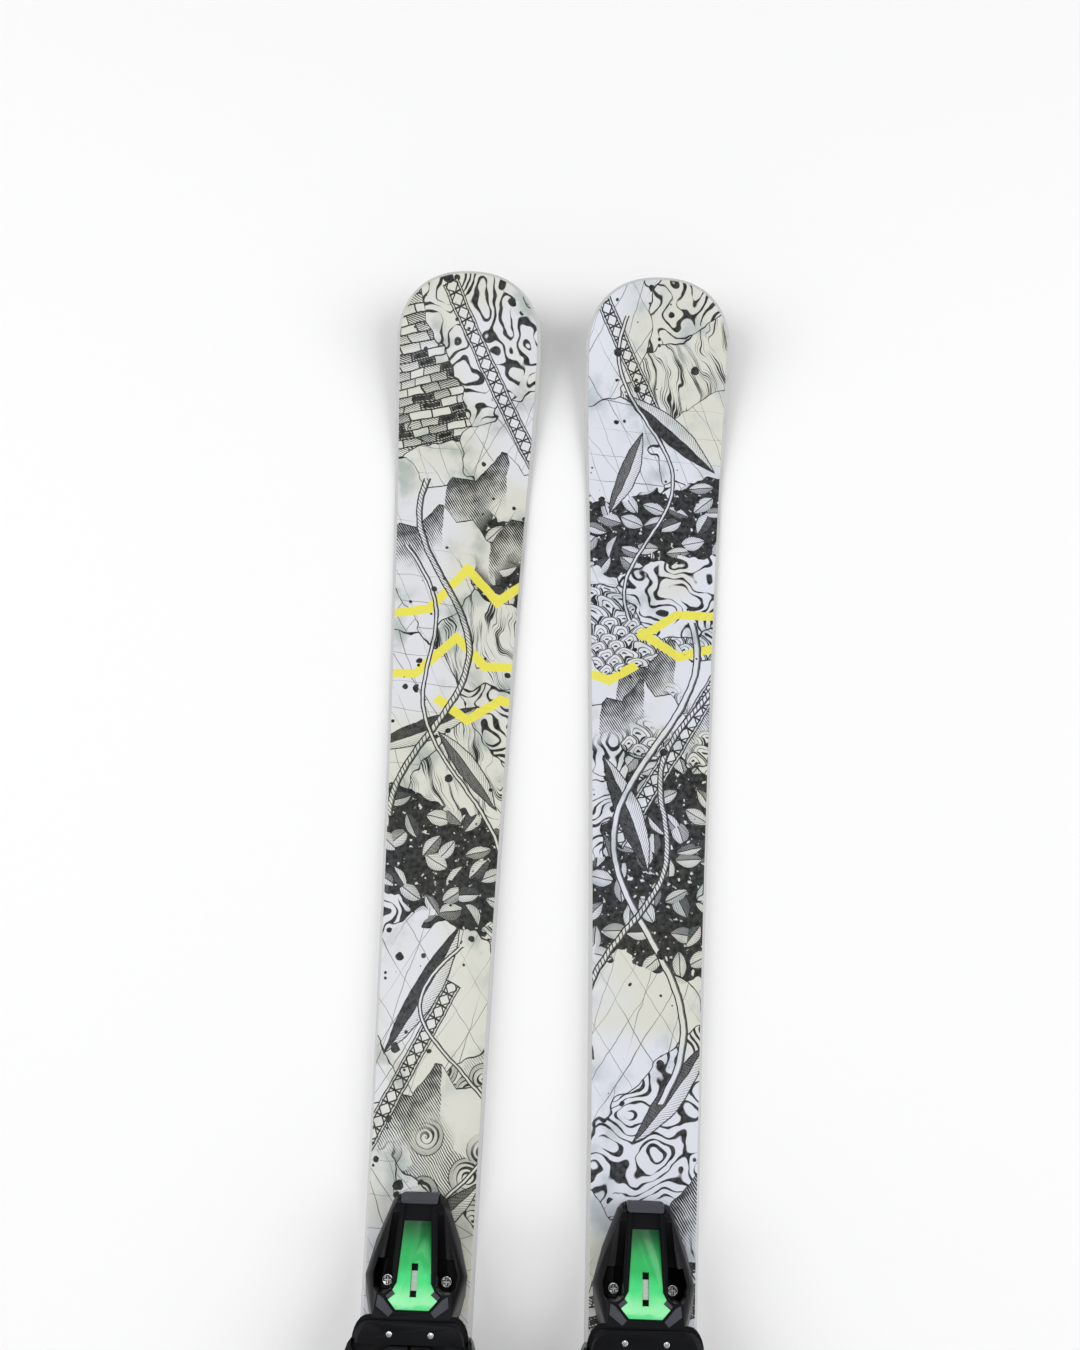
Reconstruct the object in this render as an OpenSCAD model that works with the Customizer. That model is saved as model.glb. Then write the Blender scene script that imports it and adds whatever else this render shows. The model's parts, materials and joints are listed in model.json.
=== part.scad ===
/* [Pair] */
// Distance between the centre lines of the two skis
ski_spacing = 161; // [140:1:240]

/* [Ski outline] */
// Length of a ski from tail to tip, seen from above
ski_len = 1780; // [1650:5:1900]
// Greatest width of the front end
tip_w = 122.8; // [112:0.2:134]
// Width at the narrowest place
waist_w = 80; // [74:1:90]
// Greatest width of the back end
tail_w = 112; // [102:1:124]
// How far the narrowest place lies behind the middle of the ski
waist_back = 77; // [40:1:120]
// Length of the rounded front end
tip_round = 57; // [45:1:80]
// Length of the rounded back end
tail_round = 52; // [42:1:75]
// How far behind the rounded ends the side curves reach the full width
shoulder_len = 28; // [15:1:45]
// Height that the tip turns up
tip_rise = 52; // [35:1:70]
// Length of the upturned tip
tip_run = 190; // [150:1:240]
// Height that the tail turns up
tail_rise = 34; // [20:1:50]
// Length of the upturned tail
tail_run = 130; // [100:1:180]

/* [Ski layers] */
// Thickness of the ski under the binding
mid_t = 12; // [11:0.5:16]
// Thickness of the ski at its ends
end_t = 5.2; // [4.8:0.1:7]
// Thickness of the running base
base_t = 1.4; // [1.1:0.1:1.8]
// Width of the steel edge
edge_w = 2.2; // [1.6:0.1:3]
// Height of the steel edge
edge_h = 2; // [1.5:0.1:2.4]
// Width of the sidewall at its foot
sidewall_w = 6; // [4.5:0.5:9]
// How far the sidewall leans in at its top
sidewall_lean = 2.8; // [1:0.1:4]
// Thickness of each glass laminate
laminate_t = 0.7; // [0.4:0.1:0.9]
// Thickness of the topsheet
topsheet_t = 0.8; // [0.5:0.1:1]
// Thickness of the glue lines, left empty
glue_t = 0.1; // [0.05:0.05:0.15]

/* [Boot] */
// Length of the boot sole that the binding is set to
boot_sole = 295; // [270:1:330]
// How far the middle of the boot lies behind the middle of the ski
boot_mid_back = 106; // [60:1:130]
// Radius of the boot's toe seen from above
boot_toe_r = 41; // [38:0.5:46]
// Radius of the boot's heel seen from above
boot_heel_r = 36; // [33:0.5:40]
// Thickness of the sole at the toe
sole_toe_h = 19; // [17:0.5:22]
// Thickness of the sole at the heel
sole_heel_h = 30; // [28:0.5:33]
// Height of the sole above the topsheet
stand_h = 17; // [15:0.5:20]

/* [Toe piece] */
// Distance from the wing pins to the front of the nose
toe_len = 91; // [86:1:100]
// Width of the nose cap
nose_w = 26; // [22:1:32]
// Length of the nose cap
nose_len = 7.5; // [5:0.5:10]
// Width of the housing at its widest
toe_w = 72; // [66:1:80]
// Width of the housing at its back
toe_back_w = 64; // [60:1:70]
// Width of the base plate under the boot
base_plate_w = 62; // [56:1:70]
// Thickness of the base plate
plate_t = 5; // [4:0.5:5.5]
// Height of the upright walls of the housing
toe_wall_h = 15; // [12:0.5:18]
// Height of the housing at the nose
toe_front_h = 26; // [24:0.5:30]
// Step from the top of the housing up to the wing cover
cover_step = 3.8; // [2:0.1:4.5]
// Width of the sloping top behind the nose
top_front_w = 38; // [36:1:40]
// Width of the sloping top at the back
top_back_w = 54; // [50:1:58]
// Distance between the two front mounting screws
toe_screw_span = 42; // [40:0.5:46]
// How far the front mounting screws lie ahead of the wing pins
toe_screw_y = 31; // [29:0.5:34]

/* [Toe window] */
// Width of the window at its front
window_front_w = 19; // [16:0.5:21]
// Width of the window before it flares
window_w = 24; // [22:0.5:25]
// Width of the window at its flare
window_flare_w = 34.4; // [30:0.2:36]
// Width of the window at its back
window_back_w = 23; // [20:0.5:26]
// Thickness of the window
window_t = 2.2; // [1.6:0.1:2.6]
// Width of the slot in the window
slot_w = 4.4; // [3.6:0.1:5]
// Length of the slot in the window
slot_len = 22; // [19:0.5:24]
// Length of the release indicator
indicator_len = 13; // [10:0.5:14]
// Thickness of the release indicator
indicator_t = 1.4; // [1:0.1:1.8]
// Thickness of the trim plates
trim_t = 1.4; // [1:0.1:2]

/* [Toe wings] */
// Distance between the two wing pins
pin_span = 28.4; // [27:0.2:32]
// Diameter of a wing pin
pin_d = 3; // [2.5:0.5:4]
// Radius of the hub round a wing pin
hub_r = 8.5; // [7:0.5:9]
// Radius of the cover round each wing pin
cover_r = 26; // [24:0.5:28]
// How far the cover reaches behind the wing pins
cover_back = 6.5; // [5:0.5:8]
// Thickness of the cover
cover_t = 6; // [5:0.5:8]
// Angle through which a wing opens
wing_open = 30; // [20:1:32]
// Distance from the wing pins back to the boot
toe_cup = 20; // [19:0.5:24]
// Sideways reach of a wing from its pin
jaw_reach = 31; // [30:0.5:36]
// Length of the wing lip over the sole
wing_lip = 6; // [3:0.5:8]
// Thickness of the wing lip
wing_lip_t = 9; // [8:0.5:11]

/* [Sliding pad] */
// How far the middle of the sliding pad lies behind the wing pins
pad_back = 61; // [60:0.5:66]
// Length of the sliding pad along the ski
pad_len = 36; // [34:0.5:40]
// Width of the sliding pad across the ski
pad_w = 54; // [44:1:56]
// Width of the guide flange under the sliding pad
guide_w = 26; // [24:0.5:28]
// Thickness of the guide flange
guide_t = 3.5; // [3:0.1:4]

/* [Springs] */
// Outer diameter of the release springs
spring_d = 13; // [11:0.5:14]
// Diameter of the spring wire
spring_wire = 2.4; // [1.8:0.1:2.8]
// Length of the toe spring
toe_spring_len = 58; // [50:1:60]
// Length of the heel spring
heel_spring_len = 28; // [22:1:30]
// Height of the spring axis in the toe piece
toe_spring_h = 15.5; // [14.5:0.5:17]
// Diameter of the release screws
release_d = 6; // [5:0.5:6.5]
// Length of the heads of the release screws
release_head_h = 5; // [4:0.5:6]

/* [Heel piece] */
// Width of the heel track
track_w = 48; // [46:1:54]
// Length of the heel track
track_len = 130; // [124:1:150]
// Thickness of the heel track
track_t = 4; // [3:0.5:4.5]
// Width of the rail's flange
rail_w = 26; // [22:1:28]
// Width of the rail's neck
rail_neck = 18; // [14:1:19]
// Height of the rail above the track
rail_h = 5.2; // [4.8:0.1:5.6]
// Width of the carriage
carriage_w = 58; // [57:0.5:62]
// Length of the carriage
carriage_len = 94; // [92:1:100]
// Height of the carriage's base block
carriage_h = 15; // [14.5:0.1:15.2]
// Width of the heel housing
heel_w = 42; // [38:1:43]
// Height of the heel housing
heel_h = 40; // [37:0.5:41]
// Length of the heel housing
heel_len = 42; // [40:0.5:43]
// How far the cup axle lies behind the boot heel
axle_back = 36; // [35:0.5:37]
// Height of the cup axle above the topsheet
axle_h = 26; // [25.5:0.1:26.5]
// Diameter of the cup axle
axle_d = 6; // [5:0.5:7]
// Width of the heel cup
cup_w = 62; // [60:0.5:66]
// Length of the heel cup's lip over the sole
cup_lip = 8; // [5:0.5:9]
// Thickness of the heel cup's lip
cup_lip_t = 9; // [7:0.5:11]
// Length of the opening lever from its pivot
lever_len = 86; // [84:0.5:92]
// Angle of the closed lever above the ski
lever_tilt = 17.5; // [16:0.5:20]
// Distance across the four countersunk track screws
track_screw_span = 37; // [36:0.5:39]

/* [Brake] */
// How far the brake axle lies ahead of the boot heel
brake_fore = 24; // [23:0.5:28]
// Height of the brake axle above the topsheet
brake_h = 11.5; // [11:0.1:11.6]
// Diameter of the brake wire
brake_wire = 5; // [4:0.5:5.5]
// Length of a brake arm behind its axle
brake_len = 100; // [85:1:110]
// Free space between the waist and the brake feet
brake_gap = 3.6; // [3:0.1:6]
// Width of a brake foot
foot_w = 8.8; // [7.5:0.1:11]
// Length of the brake pedal ahead of its axle
pedal_len = 56; // [45:1:65]
// Width of the brake pedal
pedal_w = 48; // [44:1:49]

/* [Fasteners] */
// Diameter of the mounting screws
screw_d = 5; // [4:0.2:5.4]
// Diameter of their heads
screw_head_d = 8; // [7:0.2:8.4]
// Height of the round heads
screw_head_h = 2.8; // [2.4:0.1:3.2]
// Depth of the screws in the ski
screw_bite = 7.5; // [5:0.5:8]

/* [Fits] */
// Radial clearance of a running pin or shaft
run_fit = 0.05; // [0.03:0.01:0.1]
// Clearance of sliding faces
slide_fit = 0.3; // [0.2:0.05:0.4]
// Clearance of free moving pieces
free_fit = 0.4; // [0.3:0.05:0.6]

/* [Hidden] */
$fn = 48;
SIDES = ["left", "right"];
PIECES = [
    "base_sheet", "steel_edges", "core", "sidewalls", "topsheet", "toe_base_plate", "toe_housing",
    "toe_nose_cap", "toe_window", "toe_trims", "toe_indicator", "toe_release_screw", "toe_spring",
    "toe_wing_left", "toe_wing_right", "toe_wing_pins", "sliding_pad", "heel_track", "heel_carriage",
    "heel_cup", "heel_lever", "heel_axle", "heel_spring", "heel_release_screw", "heel_indicator",
    "heel_length_screw", "brake_arms", "brake_feet", "brake_pedal", "binding_screws"
];

// A small overlap that lets cuts pass through faces
cut = 1;

// Outline of the ski, with the origin at the middle of its length
tip_y = ski_len/2;
tail_y = -ski_len/2;
waist_y = -waist_back;
tip_c = tip_y - tip_round;
tail_c = tail_y + tail_round;
tip_bend_y = tip_y - tip_run;
tail_bend_y = tail_y + tail_run;
round_power = 2.344;
blend = 3;
front_r = pow(tip_c - shoulder_len - waist_y, 2)/(tip_w - waist_w);
rear_r = pow(waist_y - tail_c - shoulder_len, 2)/(tail_w - waist_w);
end_steps = 8;
rise_step = 20;
mid_step = 85;

function soft_min(a, b) = let (h = max(blend - abs(a - b), 0)/blend) min(a, b) - h*h*blend/4;
function end_half(s, w) = w/2*pow(max(1 - pow(max(s, 0), round_power), 0), 1/round_power);
function side_half(y) = waist_w/2 + pow(y - waist_y, 2)/(2*(y > waist_y ? front_r : rear_r));
function half_w(y) = soft_min(side_half(y), y > waist_y
    ? end_half((y - tip_c)/tip_round, tip_w)
    : end_half((tail_c - y)/tail_round, tail_w));

// Places along the ski, close together where it bends or closes
function spread(a, b, step) = let (n = ceil((b - a)/step)) [for (i = [0:n - 1]) a + (b - a)*i/n];
function end_place(i) = pow(sin(90*i/end_steps), 2/round_power);
places = concat(
    [for (i = [end_steps:-1:1]) tail_c - tail_round*end_place(i)],
    spread(tail_c, tail_bend_y, rise_step),
    spread(tail_bend_y, tip_bend_y, mid_step),
    spread(tip_bend_y, tip_c, rise_step),
    [for (i = [0:end_steps]) tip_c + tip_round*end_place(i)]
);
last = len(places) - 1;
rim = [for (y = places) [half_w(y), y]];

// The right half of the outline moved inwards by d, and the whole loop from it
function along(i) = i == 0 || i == last ? [i == 0 ? 1 : -1, 0] : rim[i + 1] - rim[i - 1];
function outward(i) = let (t = along(i)) [t.y, -t.x]/norm(t);
function inset(d) = [for (i = [0:last]) rim[i] - d*outward(i)];
function loop_of(half) = concat(half, [for (i = [last - 1:-1:1]) [-half[i].x, half[i].y]]);

// Height of the base and thickness of the ski along its length
function bend_r(rise, run) = (run*run + rise*rise)/(2*rise);
function bend_up(u, rise, run) = let (r = bend_r(rise, run), v = max(u, 0)) r - sqrt(r*r - v*v);
function base_z(y) = bend_up(y - tip_bend_y, tip_rise, tip_run)
    + bend_up(tail_bend_y - y, tail_rise, tail_run);
function ease(s) = let (c = min(max(s, 0), 1)) c*c*(3 - 2*c);

// The binding stands on a flat deck of even thickness
deck_z = mid_t;
boot_mid_y = -boot_mid_back;
pin_y = boot_mid_y + boot_sole/2 + toe_cup;
heel_y = boot_mid_y - boot_sole/2;
deck_margin = 18;
track_front = 12;
deck_front = pin_y + toe_len + deck_margin;
deck_back = heel_y + track_front - track_len - deck_margin;
function thick(y) = end_t + (mid_t - end_t)*(1 - ease(y > 0
    ? (y - deck_front)/(tip_bend_y - deck_front)
    : (deck_back - y)/(deck_back - tail_bend_y)));

// Layer heights above the base
low_glass_z = base_t + glue_t;
core_z = low_glass_z + laminate_t + glue_t;
sidewall_z = edge_h + glue_t;
under_sheet = topsheet_t + glue_t;
under_glass = under_sheet + laminate_t + glue_t;

// Toe piece, measured from the middle between the wing pins, on the deck
pin_x = pin_span/2;
pin_r = pin_d/2;
lip_z = stand_h + sole_toe_h + free_fit;
jaw_top = lip_z + wing_lip_t;
cover_z = jaw_top - cover_t;
arm_top = cover_z - free_fit;
wing_drop = 4.5;
wing_foot = stand_h - wing_drop;
toe_back_y = hub_r + 3*free_fit;
toe_front_y = toe_len - nose_len;
toe_back_h = jaw_top - cover_step;
toe_slope = atan((toe_back_h - toe_front_h)/(toe_front_y - toe_back_y));
spine_w = 8;
widest_y = 35;
plate_margin = 5;
plate_back_y = -pad_back - pad_len/2 - plate_margin;
boss_r = hub_r - 2;
guide_gap = 3;
guide_z = plate_t + guide_gap;
guide_lip = 4;
guide_neck = guide_w - 2*guide_lip;
pad_foot = plate_t + slide_fit;
toe_screw_x = toe_screw_span/2;
pad_screw_x = 15;
screw_r = screw_d/2;
head_r = screw_head_d/2;
head_fit = 0.4;
sink_h = 2.6;
pin_foot = 1.5;
pin_rim = 0.5;
pin_head_h = 1;
bar = 0.2;
pocket_r = head_r + 1.6;
pocket_len = 16.5;
gutter_y = toe_front_y - 6;
gutter_drop = 0.6;
gutter_h = toe_wall_h + 5;
crease_t = 1;
cover_w = pin_x + cover_r;
cover_front = toe_back_y + 2*cut;
cover_rim = cover_t - cover_step - 0.6;
cover_lip = 3;
cover_lean = [2.6, 1.6];
cover_round = [10.5, 17];
trim_gap = 1.9;
trim_margin = 1;
trim_tip = 3;

// Window on the sloping top: places ahead of the wing pins
nose_bevel = 2;
nose_h = toe_front_h + 1;
window_front_y = toe_front_y - 11;
window_bend_y = 32;
notch_y = 27.4;
notch_out = 2.6;
flare_y = 21.3;
corner_len = 3.2;
window_back_y = 15;
slot_mid_y = 34;
recess_t = window_t + indicator_t + slide_fit;
channel_t = 2;
ridge_gap = 0.8;
ridge_w = 1.6;
ridge_h = 1.2;

// Springs and release screws
spring_r = spring_d/2;
tunnel_r = spring_r + 2*slide_fit;
release_r = release_d/2;
release_head_r = tunnel_r - slide_fit;
release_end = 4;
toe_head_y = toe_len - 1;
toe_tunnel_back = toe_head_y - release_head_h - toe_spring_len - 2*slide_fit;

// Heel piece, measured from the back of the boot, on the deck
track_back = track_front - track_len;
carriage_front = -8;
carriage_back = carriage_front - carriage_len;
carriage_foot = track_t + slide_fit;
rail_top = track_t + rail_h;
rail_flange_z = track_t + 2.2;
rail_front = -4;
heel_front = carriage_back + heel_len;
heel_spring_h = axle_h + 1;
heel_tunnel_front = carriage_back + release_head_h + heel_spring_len + 2*slide_fit;
heel_bevel = 6;
ear_in = heel_w/2 + 1.2;
ear_t = 5.8;
ear_r = 13;
cup_in_w = heel_w + 0.8;
cup_hub_r = 9;
cup_bevel = 6;
cup_back = -13;
cup_front = 14;
cup_foot = carriage_h + 0.6;
step_z = cup_foot + 4;
cup_lip_z = stand_h + sole_heel_h + free_fit + 0.4;
cup_top = cup_lip_z + cup_lip_t;
lever_y = -22;
lever_z = cup_lip_z + 0.2;
lever_hub_r = 7;
hub_rim = 0.4;
lever_in = cup_in_w/2 + 1;
lever_t = 5;
lever_pin_r = 2.5;
arm_h = 11;
handle_len = 22;
handle_h = 8;
scoop_r = 24;
scoop_t = 1.8;
track_screw_x = track_screw_span/2;
track_screw_ys = [-20, -100];
worm_r = 2.6;
worm_head_r = worm_r + 0.4;
worm_dip = 1.2;
worm_z = rail_top + worm_r - worm_dip;
worm_head_h = 4;
worm_end = 4;
rack_pitch = 4;
rack_slot = 2;
rack_w = 12;
rack_h = 1.2;

// Brake
wire_r = brake_wire/2;
brake_x = waist_w/2 + brake_gap + foot_w/2;
cheek_in = pedal_w/2 + 2;
cheek_out = cheek_in + 5;
cheek_root = 4;
cheek_tip = brake_fore + 9;
cheek_top = stand_h - free_fit;
pedal_top = stand_h - 0.1;
pedal_hub_r = pedal_top - brake_h;
arm_in = 6;
pedal_t = 4.6;
foot_len = 40;
foot_h = 12;

// Puts a piece on its ski, on the toe pins or behind the boot heel
module on_ski(side) translate([side == "left" ? -ski_spacing/2 : ski_spacing/2, 0, 0]) children();
module at_toe() translate([0, pin_y, deck_z]) children();
module at_heel() translate([0, heel_y, deck_z]) children();
module both() for (s = [0, 1]) mirror([s, 0, 0]) children();

// A bar across the ski from a side view of y and z points
module across(w) rotate([90, 0, 90]) translate([0, 0, -w/2]) linear_extrude(w) children();
// A cylinder along y from y0 to y1
module along_y(r, y0, y1, z) translate([0, y0, z]) rotate([-90, 0, 0]) cylinder(r = r, h = y1 - y0);
// A cylinder along x from x0 to x1
module along_x(r, x0, x1, y, z) translate([x0, y, z]) rotate([0, 90, 0]) cylinder(r = r, h = x1 - x0);
// A block between two corners
module block(a, b) translate(a) cube(b - a);

// A flat layer that fills a half outline between two heights
module layer(half, low, high) {
    line = loop_of(half);
    m = len(line);
    points = concat([for (p = line) [p.x, p.y, low(p.y)]], [for (p = line) [p.x, p.y, high(p.y)]]);
    walls = [for (i = [0:m - 1]) let (j = (i + 1) % m) each [[i, m + i, m + j], [i, m + j, j]]];
    strips = [for (i = [0:last - 1]) let (li = (m - i) % m, lj = (m - i - 1) % m) each concat(
        i == 0 ? [] : [[i, li, lj]],
        i == last - 1 ? [] : [[i, lj, i + 1]])];
    tops = [for (f = strips) [m + f[0], m + f[1], m + f[2]]];
    bottoms = [for (f = strips) [f[2], f[1], f[0]]];
    polyhedron(points, concat(walls, tops, bottoms));
}

// A closed band between two half outlines, whose outer face can lean in by lean
module band(outer, inner, lean, low, high) {
    foot = loop_of(inset(outer));
    top = loop_of(inset(outer + lean));
    in = loop_of(inset(inner));
    m = len(foot);
    points = concat(
        [for (p = foot) [p.x, p.y, low(p.y)]],
        [for (p = top) [p.x, p.y, high(p.y)]],
        [for (p = in) [p.x, p.y, high(p.y)]],
        [for (p = in) [p.x, p.y, low(p.y)]]);
    faces = [for (i = [0:m - 1]) for (k = [0:3]) let (j = (i + 1) % m, a = k*m, b = (k + 1) % 4*m)
        each [[a + i, b + i, b + j], [a + i, b + j, a + j]]];
    polyhedron(points, faces);
}

// A coil spring along y, from y0, whose ends are cut square
module coil(r, wire, y0, length, turns) {
    rings = 8*turns;
    sides = 6;
    pitch = (length - wire)/turns;
    lean = atan(pitch/(2*PI*r));
    points = [for (i = [0:rings]) let (a = 360*i/8, y = y0 + wire/2 + pitch*i/8)
        for (k = [0:sides - 1]) let (b = 360*k/sides, out = r + wire/2*cos(b), up = wire/2*sin(b))
        [out*cos(a) + up*sin(lean)*sin(a), y + up*cos(lean), out*sin(a) - up*sin(lean)*cos(a)]];
    skin = [for (i = [0:rings - 1]) for (k = [0:sides - 1])
        let (a = i*sides + k, b = i*sides + (k + 1) % sides, c = a + sides, d = b + sides)
        each [[a, b, d], [a, d, c]]];
    start = [for (k = [1:sides - 2]) [0, k + 1, k]];
    tail = rings*sides;
    finish = [for (k = [1:sides - 2]) [tail, tail + k, tail + k + 1]];
    polyhedron(points, concat(skin, start, finish));
}

// Two crossed slots in a screw head of radius r, cut down along -z from the origin
recess_part = [0.68, 0.2, 0.5];
module cross_recess(r) for (a = [0, 90]) rotate([0, 0, a])
    block(-r*recess_part, [r*recess_part.x, r*recess_part.y, cut]);

// Places of the mounting screws on the ski
toe_spots = [for (s = [-1, 1]) [s*toe_screw_x, pin_y + toe_screw_y]];
pad_spots = [for (s = [-1, 1]) [s*pad_screw_x, pin_y - pad_back]];
track_spots = [for (s = [-1, 1]) for (y = track_screw_ys) [s*track_screw_x, heel_y + y]];
all_spots = concat(toe_spots, pad_spots, track_spots);
module screw_holes() for (p = all_spots)
    translate([p.x, p.y, deck_z - screw_bite - run_fit]) cylinder(r = screw_r + run_fit, h = mid_t);

module base_sheet() color("#20252c")
    layer(inset(edge_w + glue_t), function (y) base_z(y), function (y) base_z(y) + base_t);

// The edges and sidewalls are made in lengths that meet where the ends begin to turn up
flat_part = [tail_bend_y + glue_t/2, tip_bend_y - glue_t/2];
tail_part = [tail_y - cut, tail_bend_y - glue_t/2];
tip_part = [tip_bend_y + glue_t/2, tip_y + cut];
module length_of(part) intersection() {
    children();
    block([-ski_len, part[0], -cut], [ski_len, part[1], ski_len]);
}

module steel_edges() color("#9a9ea3") for (part = [tail_part, flat_part, tip_part]) length_of(part)
    band(0, edge_w, 0, function (y) base_z(y), function (y) base_z(y) + edge_h);

// The wood core with the glass laminates below and above it, and the spacers that fill the upturned ends
module core() color("#c9a777") difference() {
    rim_in = inset(sidewall_w + glue_t);
    union() {
        length_of(flat_part) layer(rim_in, function (y) base_z(y) + low_glass_z,
            function (y) base_z(y) + low_glass_z + laminate_t);
        length_of(flat_part) layer(rim_in, function (y) base_z(y) + core_z,
            function (y) base_z(y) + thick(y) - under_glass - glue_t);
        length_of(flat_part) layer(rim_in, function (y) base_z(y) + thick(y) - under_glass,
            function (y) base_z(y) + thick(y) - under_sheet);
        for (part = [tail_part, tip_part]) length_of(part) layer(rim_in, function (y) base_z(y) + low_glass_z,
            function (y) base_z(y) + thick(y) - under_sheet);
    }
    screw_holes();
}

module sidewalls() color("#cdcdcb") for (part = [tail_part, flat_part, tip_part]) length_of(part)
    band(0, sidewall_w, sidewall_lean, function (y) base_z(y) + sidewall_z,
        function (y) base_z(y) + thick(y) - under_sheet);

module topsheet() color("#dcdcd6") difference() {
    layer(inset(sidewall_lean), function (y) base_z(y) + thick(y) - topsheet_t,
        function (y) base_z(y) + thick(y));
    screw_holes();
}

// Half outline of the toe housing: nose, shoulder, flank, widest place, waist and back
nose_rim = 0.5;
horn_x = nose_w/2 + 3.5;
horn_y = toe_len - 2;
shoulder_x = nose_w/2 + 6.5;
shoulder_y = toe_len - 6;
flank_in = 6.2;
flank_y = widest_y + 23.5;
toe_half = [
    [horn_x, horn_y], [shoulder_x, shoulder_y], [toe_w/2 - flank_in, flank_y], [toe_w/2, widest_y],
    [toe_w/2 - 2*nose_rim, (widest_y + toe_back_y)/2], [toe_back_w/2, toe_back_y]
];
plate_in = 2;
function whole(half) = concat(half, [for (i = [len(half) - 1:-1:0]) [-half[i].x, half[i].y]]);

module toe_base_plate() color("#141518") at_toe() difference() {
    union() {
        linear_extrude(plate_t) polygon(whole([
            [nose_w/2, toe_head_y], [horn_x - nose_rim, horn_y - nose_rim],
            [shoulder_x - nose_rim, shoulder_y], [toe_w/2 - plate_in, widest_y],
            [toe_back_w/2 - plate_in/2, toe_back_y], [base_plate_w/2, -toe_cup],
            [base_plate_w/2, plate_back_y]]));
        both() translate([pin_x, 0, plate_t]) cylinder(r = boss_r, h = wing_foot - plate_t - free_fit);
        across(base_plate_w) guide_section(0);
    }
    both() translate([pin_x, 0, pin_foot]) cylinder(r = pin_r + run_fit, h = stand_h);
    for (p = [[toe_screw_x, toe_screw_y], [pad_screw_x, -pad_back]]) both() translate([p.x, p.y, 0]) {
        translate([0, 0, -cut]) cylinder(r = screw_r + run_fit, h = plate_t + 2*cut);
        translate([0, 0, plate_t]) cylinder(r = head_r + head_fit, h = stand_h);
    }
}

// Side view of the rail that the sliding pad runs on, grown by a clearance
module guide_section(grow) translate([-pad_back, 0]) polygon([
    for (s = [-1, 1]) each let (
        neck = guide_neck/2 + grow,
        flange = guide_w/2 + grow,
        side = [[neck, plate_t - grow], [neck, guide_z - grow], [flange, guide_z - grow],
            [flange, guide_z + guide_t + grow]])
    s < 0 ? [for (p = side) [-p.x, p.y]] : [for (i = [3:-1:0]) side[i]]]);

// The housing with its wing cover: a sloping shell with shoulders beside the nose, a recessed window seat,
// gutters that fall to open pockets over the mounting screws, and a tunnel for the release spring
module toe_housing() color("#17181b") at_toe() difference() {
    union() {
        hull() {
            translate([0, 0, plate_t]) linear_extrude(toe_wall_h - plate_t) polygon(whole(toe_half));
            top_bar(toe_front_y - bar, 2*horn_x, toe_front_h);
            top_bar(shoulder_back_y, top_front_w, top_h(shoulder_back_y));
            top_bar(toe_back_y, top_back_w, toe_back_h);
        }
        on_top(-cut) linear_extrude(ridge_h + cut) both() ridge_outline();
        block([-spine_w/2, free_fit - cover_back, plate_t], [spine_w/2, toe_back_y + cut, cover_z + cut]);
        intersection() {
            union() {
                both() translate([pin_x, 0, cover_z]) cylinder(r = cover_r, h = cover_t);
                block([-pin_x, -cover_r, cover_z], [pin_x, cover_r, jaw_top]);
            }
            block([-toe_w, -cover_back, 0], [toe_w, cover_front, 2*jaw_top]);
            cover_form();
        }
    }
    block([-nose_w/2 - slide_fit/2, toe_front_y, 0], [nose_w/2 + slide_fit/2, toe_len, jaw_top]);
    on_top(-recess_t) linear_extrude(2*recess_t) offset(delta = slide_fit) polygon(on_slope(seat_half));
    on_top(-channel_t) linear_extrude(2*channel_t) channel_outline();
    on_top(slide_fit/2 - trim_t) linear_extrude(2*trim_t) offset(delta = slide_fit/2) trim_outline();
    along_y(tunnel_r, toe_tunnel_back, toe_front_y + cut, toe_spring_h);
    both() {
        translate([toe_screw_x, toe_screw_y, plate_t - cut]) linear_extrude(jaw_top) polygon([
            [-pocket_r, pocket_len], [pocket_r, pocket_len], [1.5*pocket_r, pocket_r],
            [1.35*pocket_r, -pocket_r/2], [0.8*pocket_r, -pocket_r], [-pocket_r/4, -pocket_r],
            [-pocket_r, -pocket_r/2]]);
        hull() {
            block([horn_x - trim_tip, gutter_y, top_h(gutter_y) - gutter_drop],
                [top_half(gutter_y) - crease_t, gutter_y + bar, jaw_top]);
            block([toe_screw_x - pocket_r, pocket_front_y - bar, gutter_h],
                [top_half(pocket_front_y) - crease_t, pocket_front_y, jaw_top]);
        }
    }
    both() translate([pin_x, 0, arm_top]) cylinder(r = pin_r + run_fit, h = 2*cover_t);
}
module top_bar(y, w, h) translate([-w/2, y, h - bar]) cube([w, bar, bar]);
shoulder_back_y = toe_front_y - 5;
pocket_front_y = toe_screw_y + pocket_len;
// Height and half width of the sloping top at a place ahead of the pins
function top_h(y) = toe_front_h + (toe_front_y - y)*tan(toe_slope);
function top_half(y) = let (s = (y - toe_back_y)/(shoulder_back_y - toe_back_y))
    (top_back_w + (top_front_w - top_back_w)*s)/2;

// The cover: a thin skirt with round front corners, and above it a crown that leans in
function cover_half(front, d) = concat(
    [for (a = [0:15:90]) [cover_w - d - cover_round.x*(1 - sin(a)), front - cover_round.y*(1 - cos(a))]],
    [[cover_w - d, -cover_r]]);
module cover_form() {
    crown_front = cover_front - cover_lip;
    translate([0, 0, cover_z]) linear_extrude(cover_rim) polygon(whole(cover_half(cover_front, 0)));
    hull() {
        translate([0, 0, cover_z]) linear_extrude(cover_rim) polygon(whole(cover_half(crown_front, 0)));
        translate([0, 0, jaw_top - bar]) linear_extrude(bar)
            polygon(whole(cover_half(crown_front - cover_lean.y, cover_lean.x)));
    }
}

// The plane of the sloping top: x across, y up the slope to the front, z out of it
module on_top(z) translate([0, toe_front_y, toe_front_h]) rotate([-toe_slope, 0, 0])
    translate([0, 0, z]) children();
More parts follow.
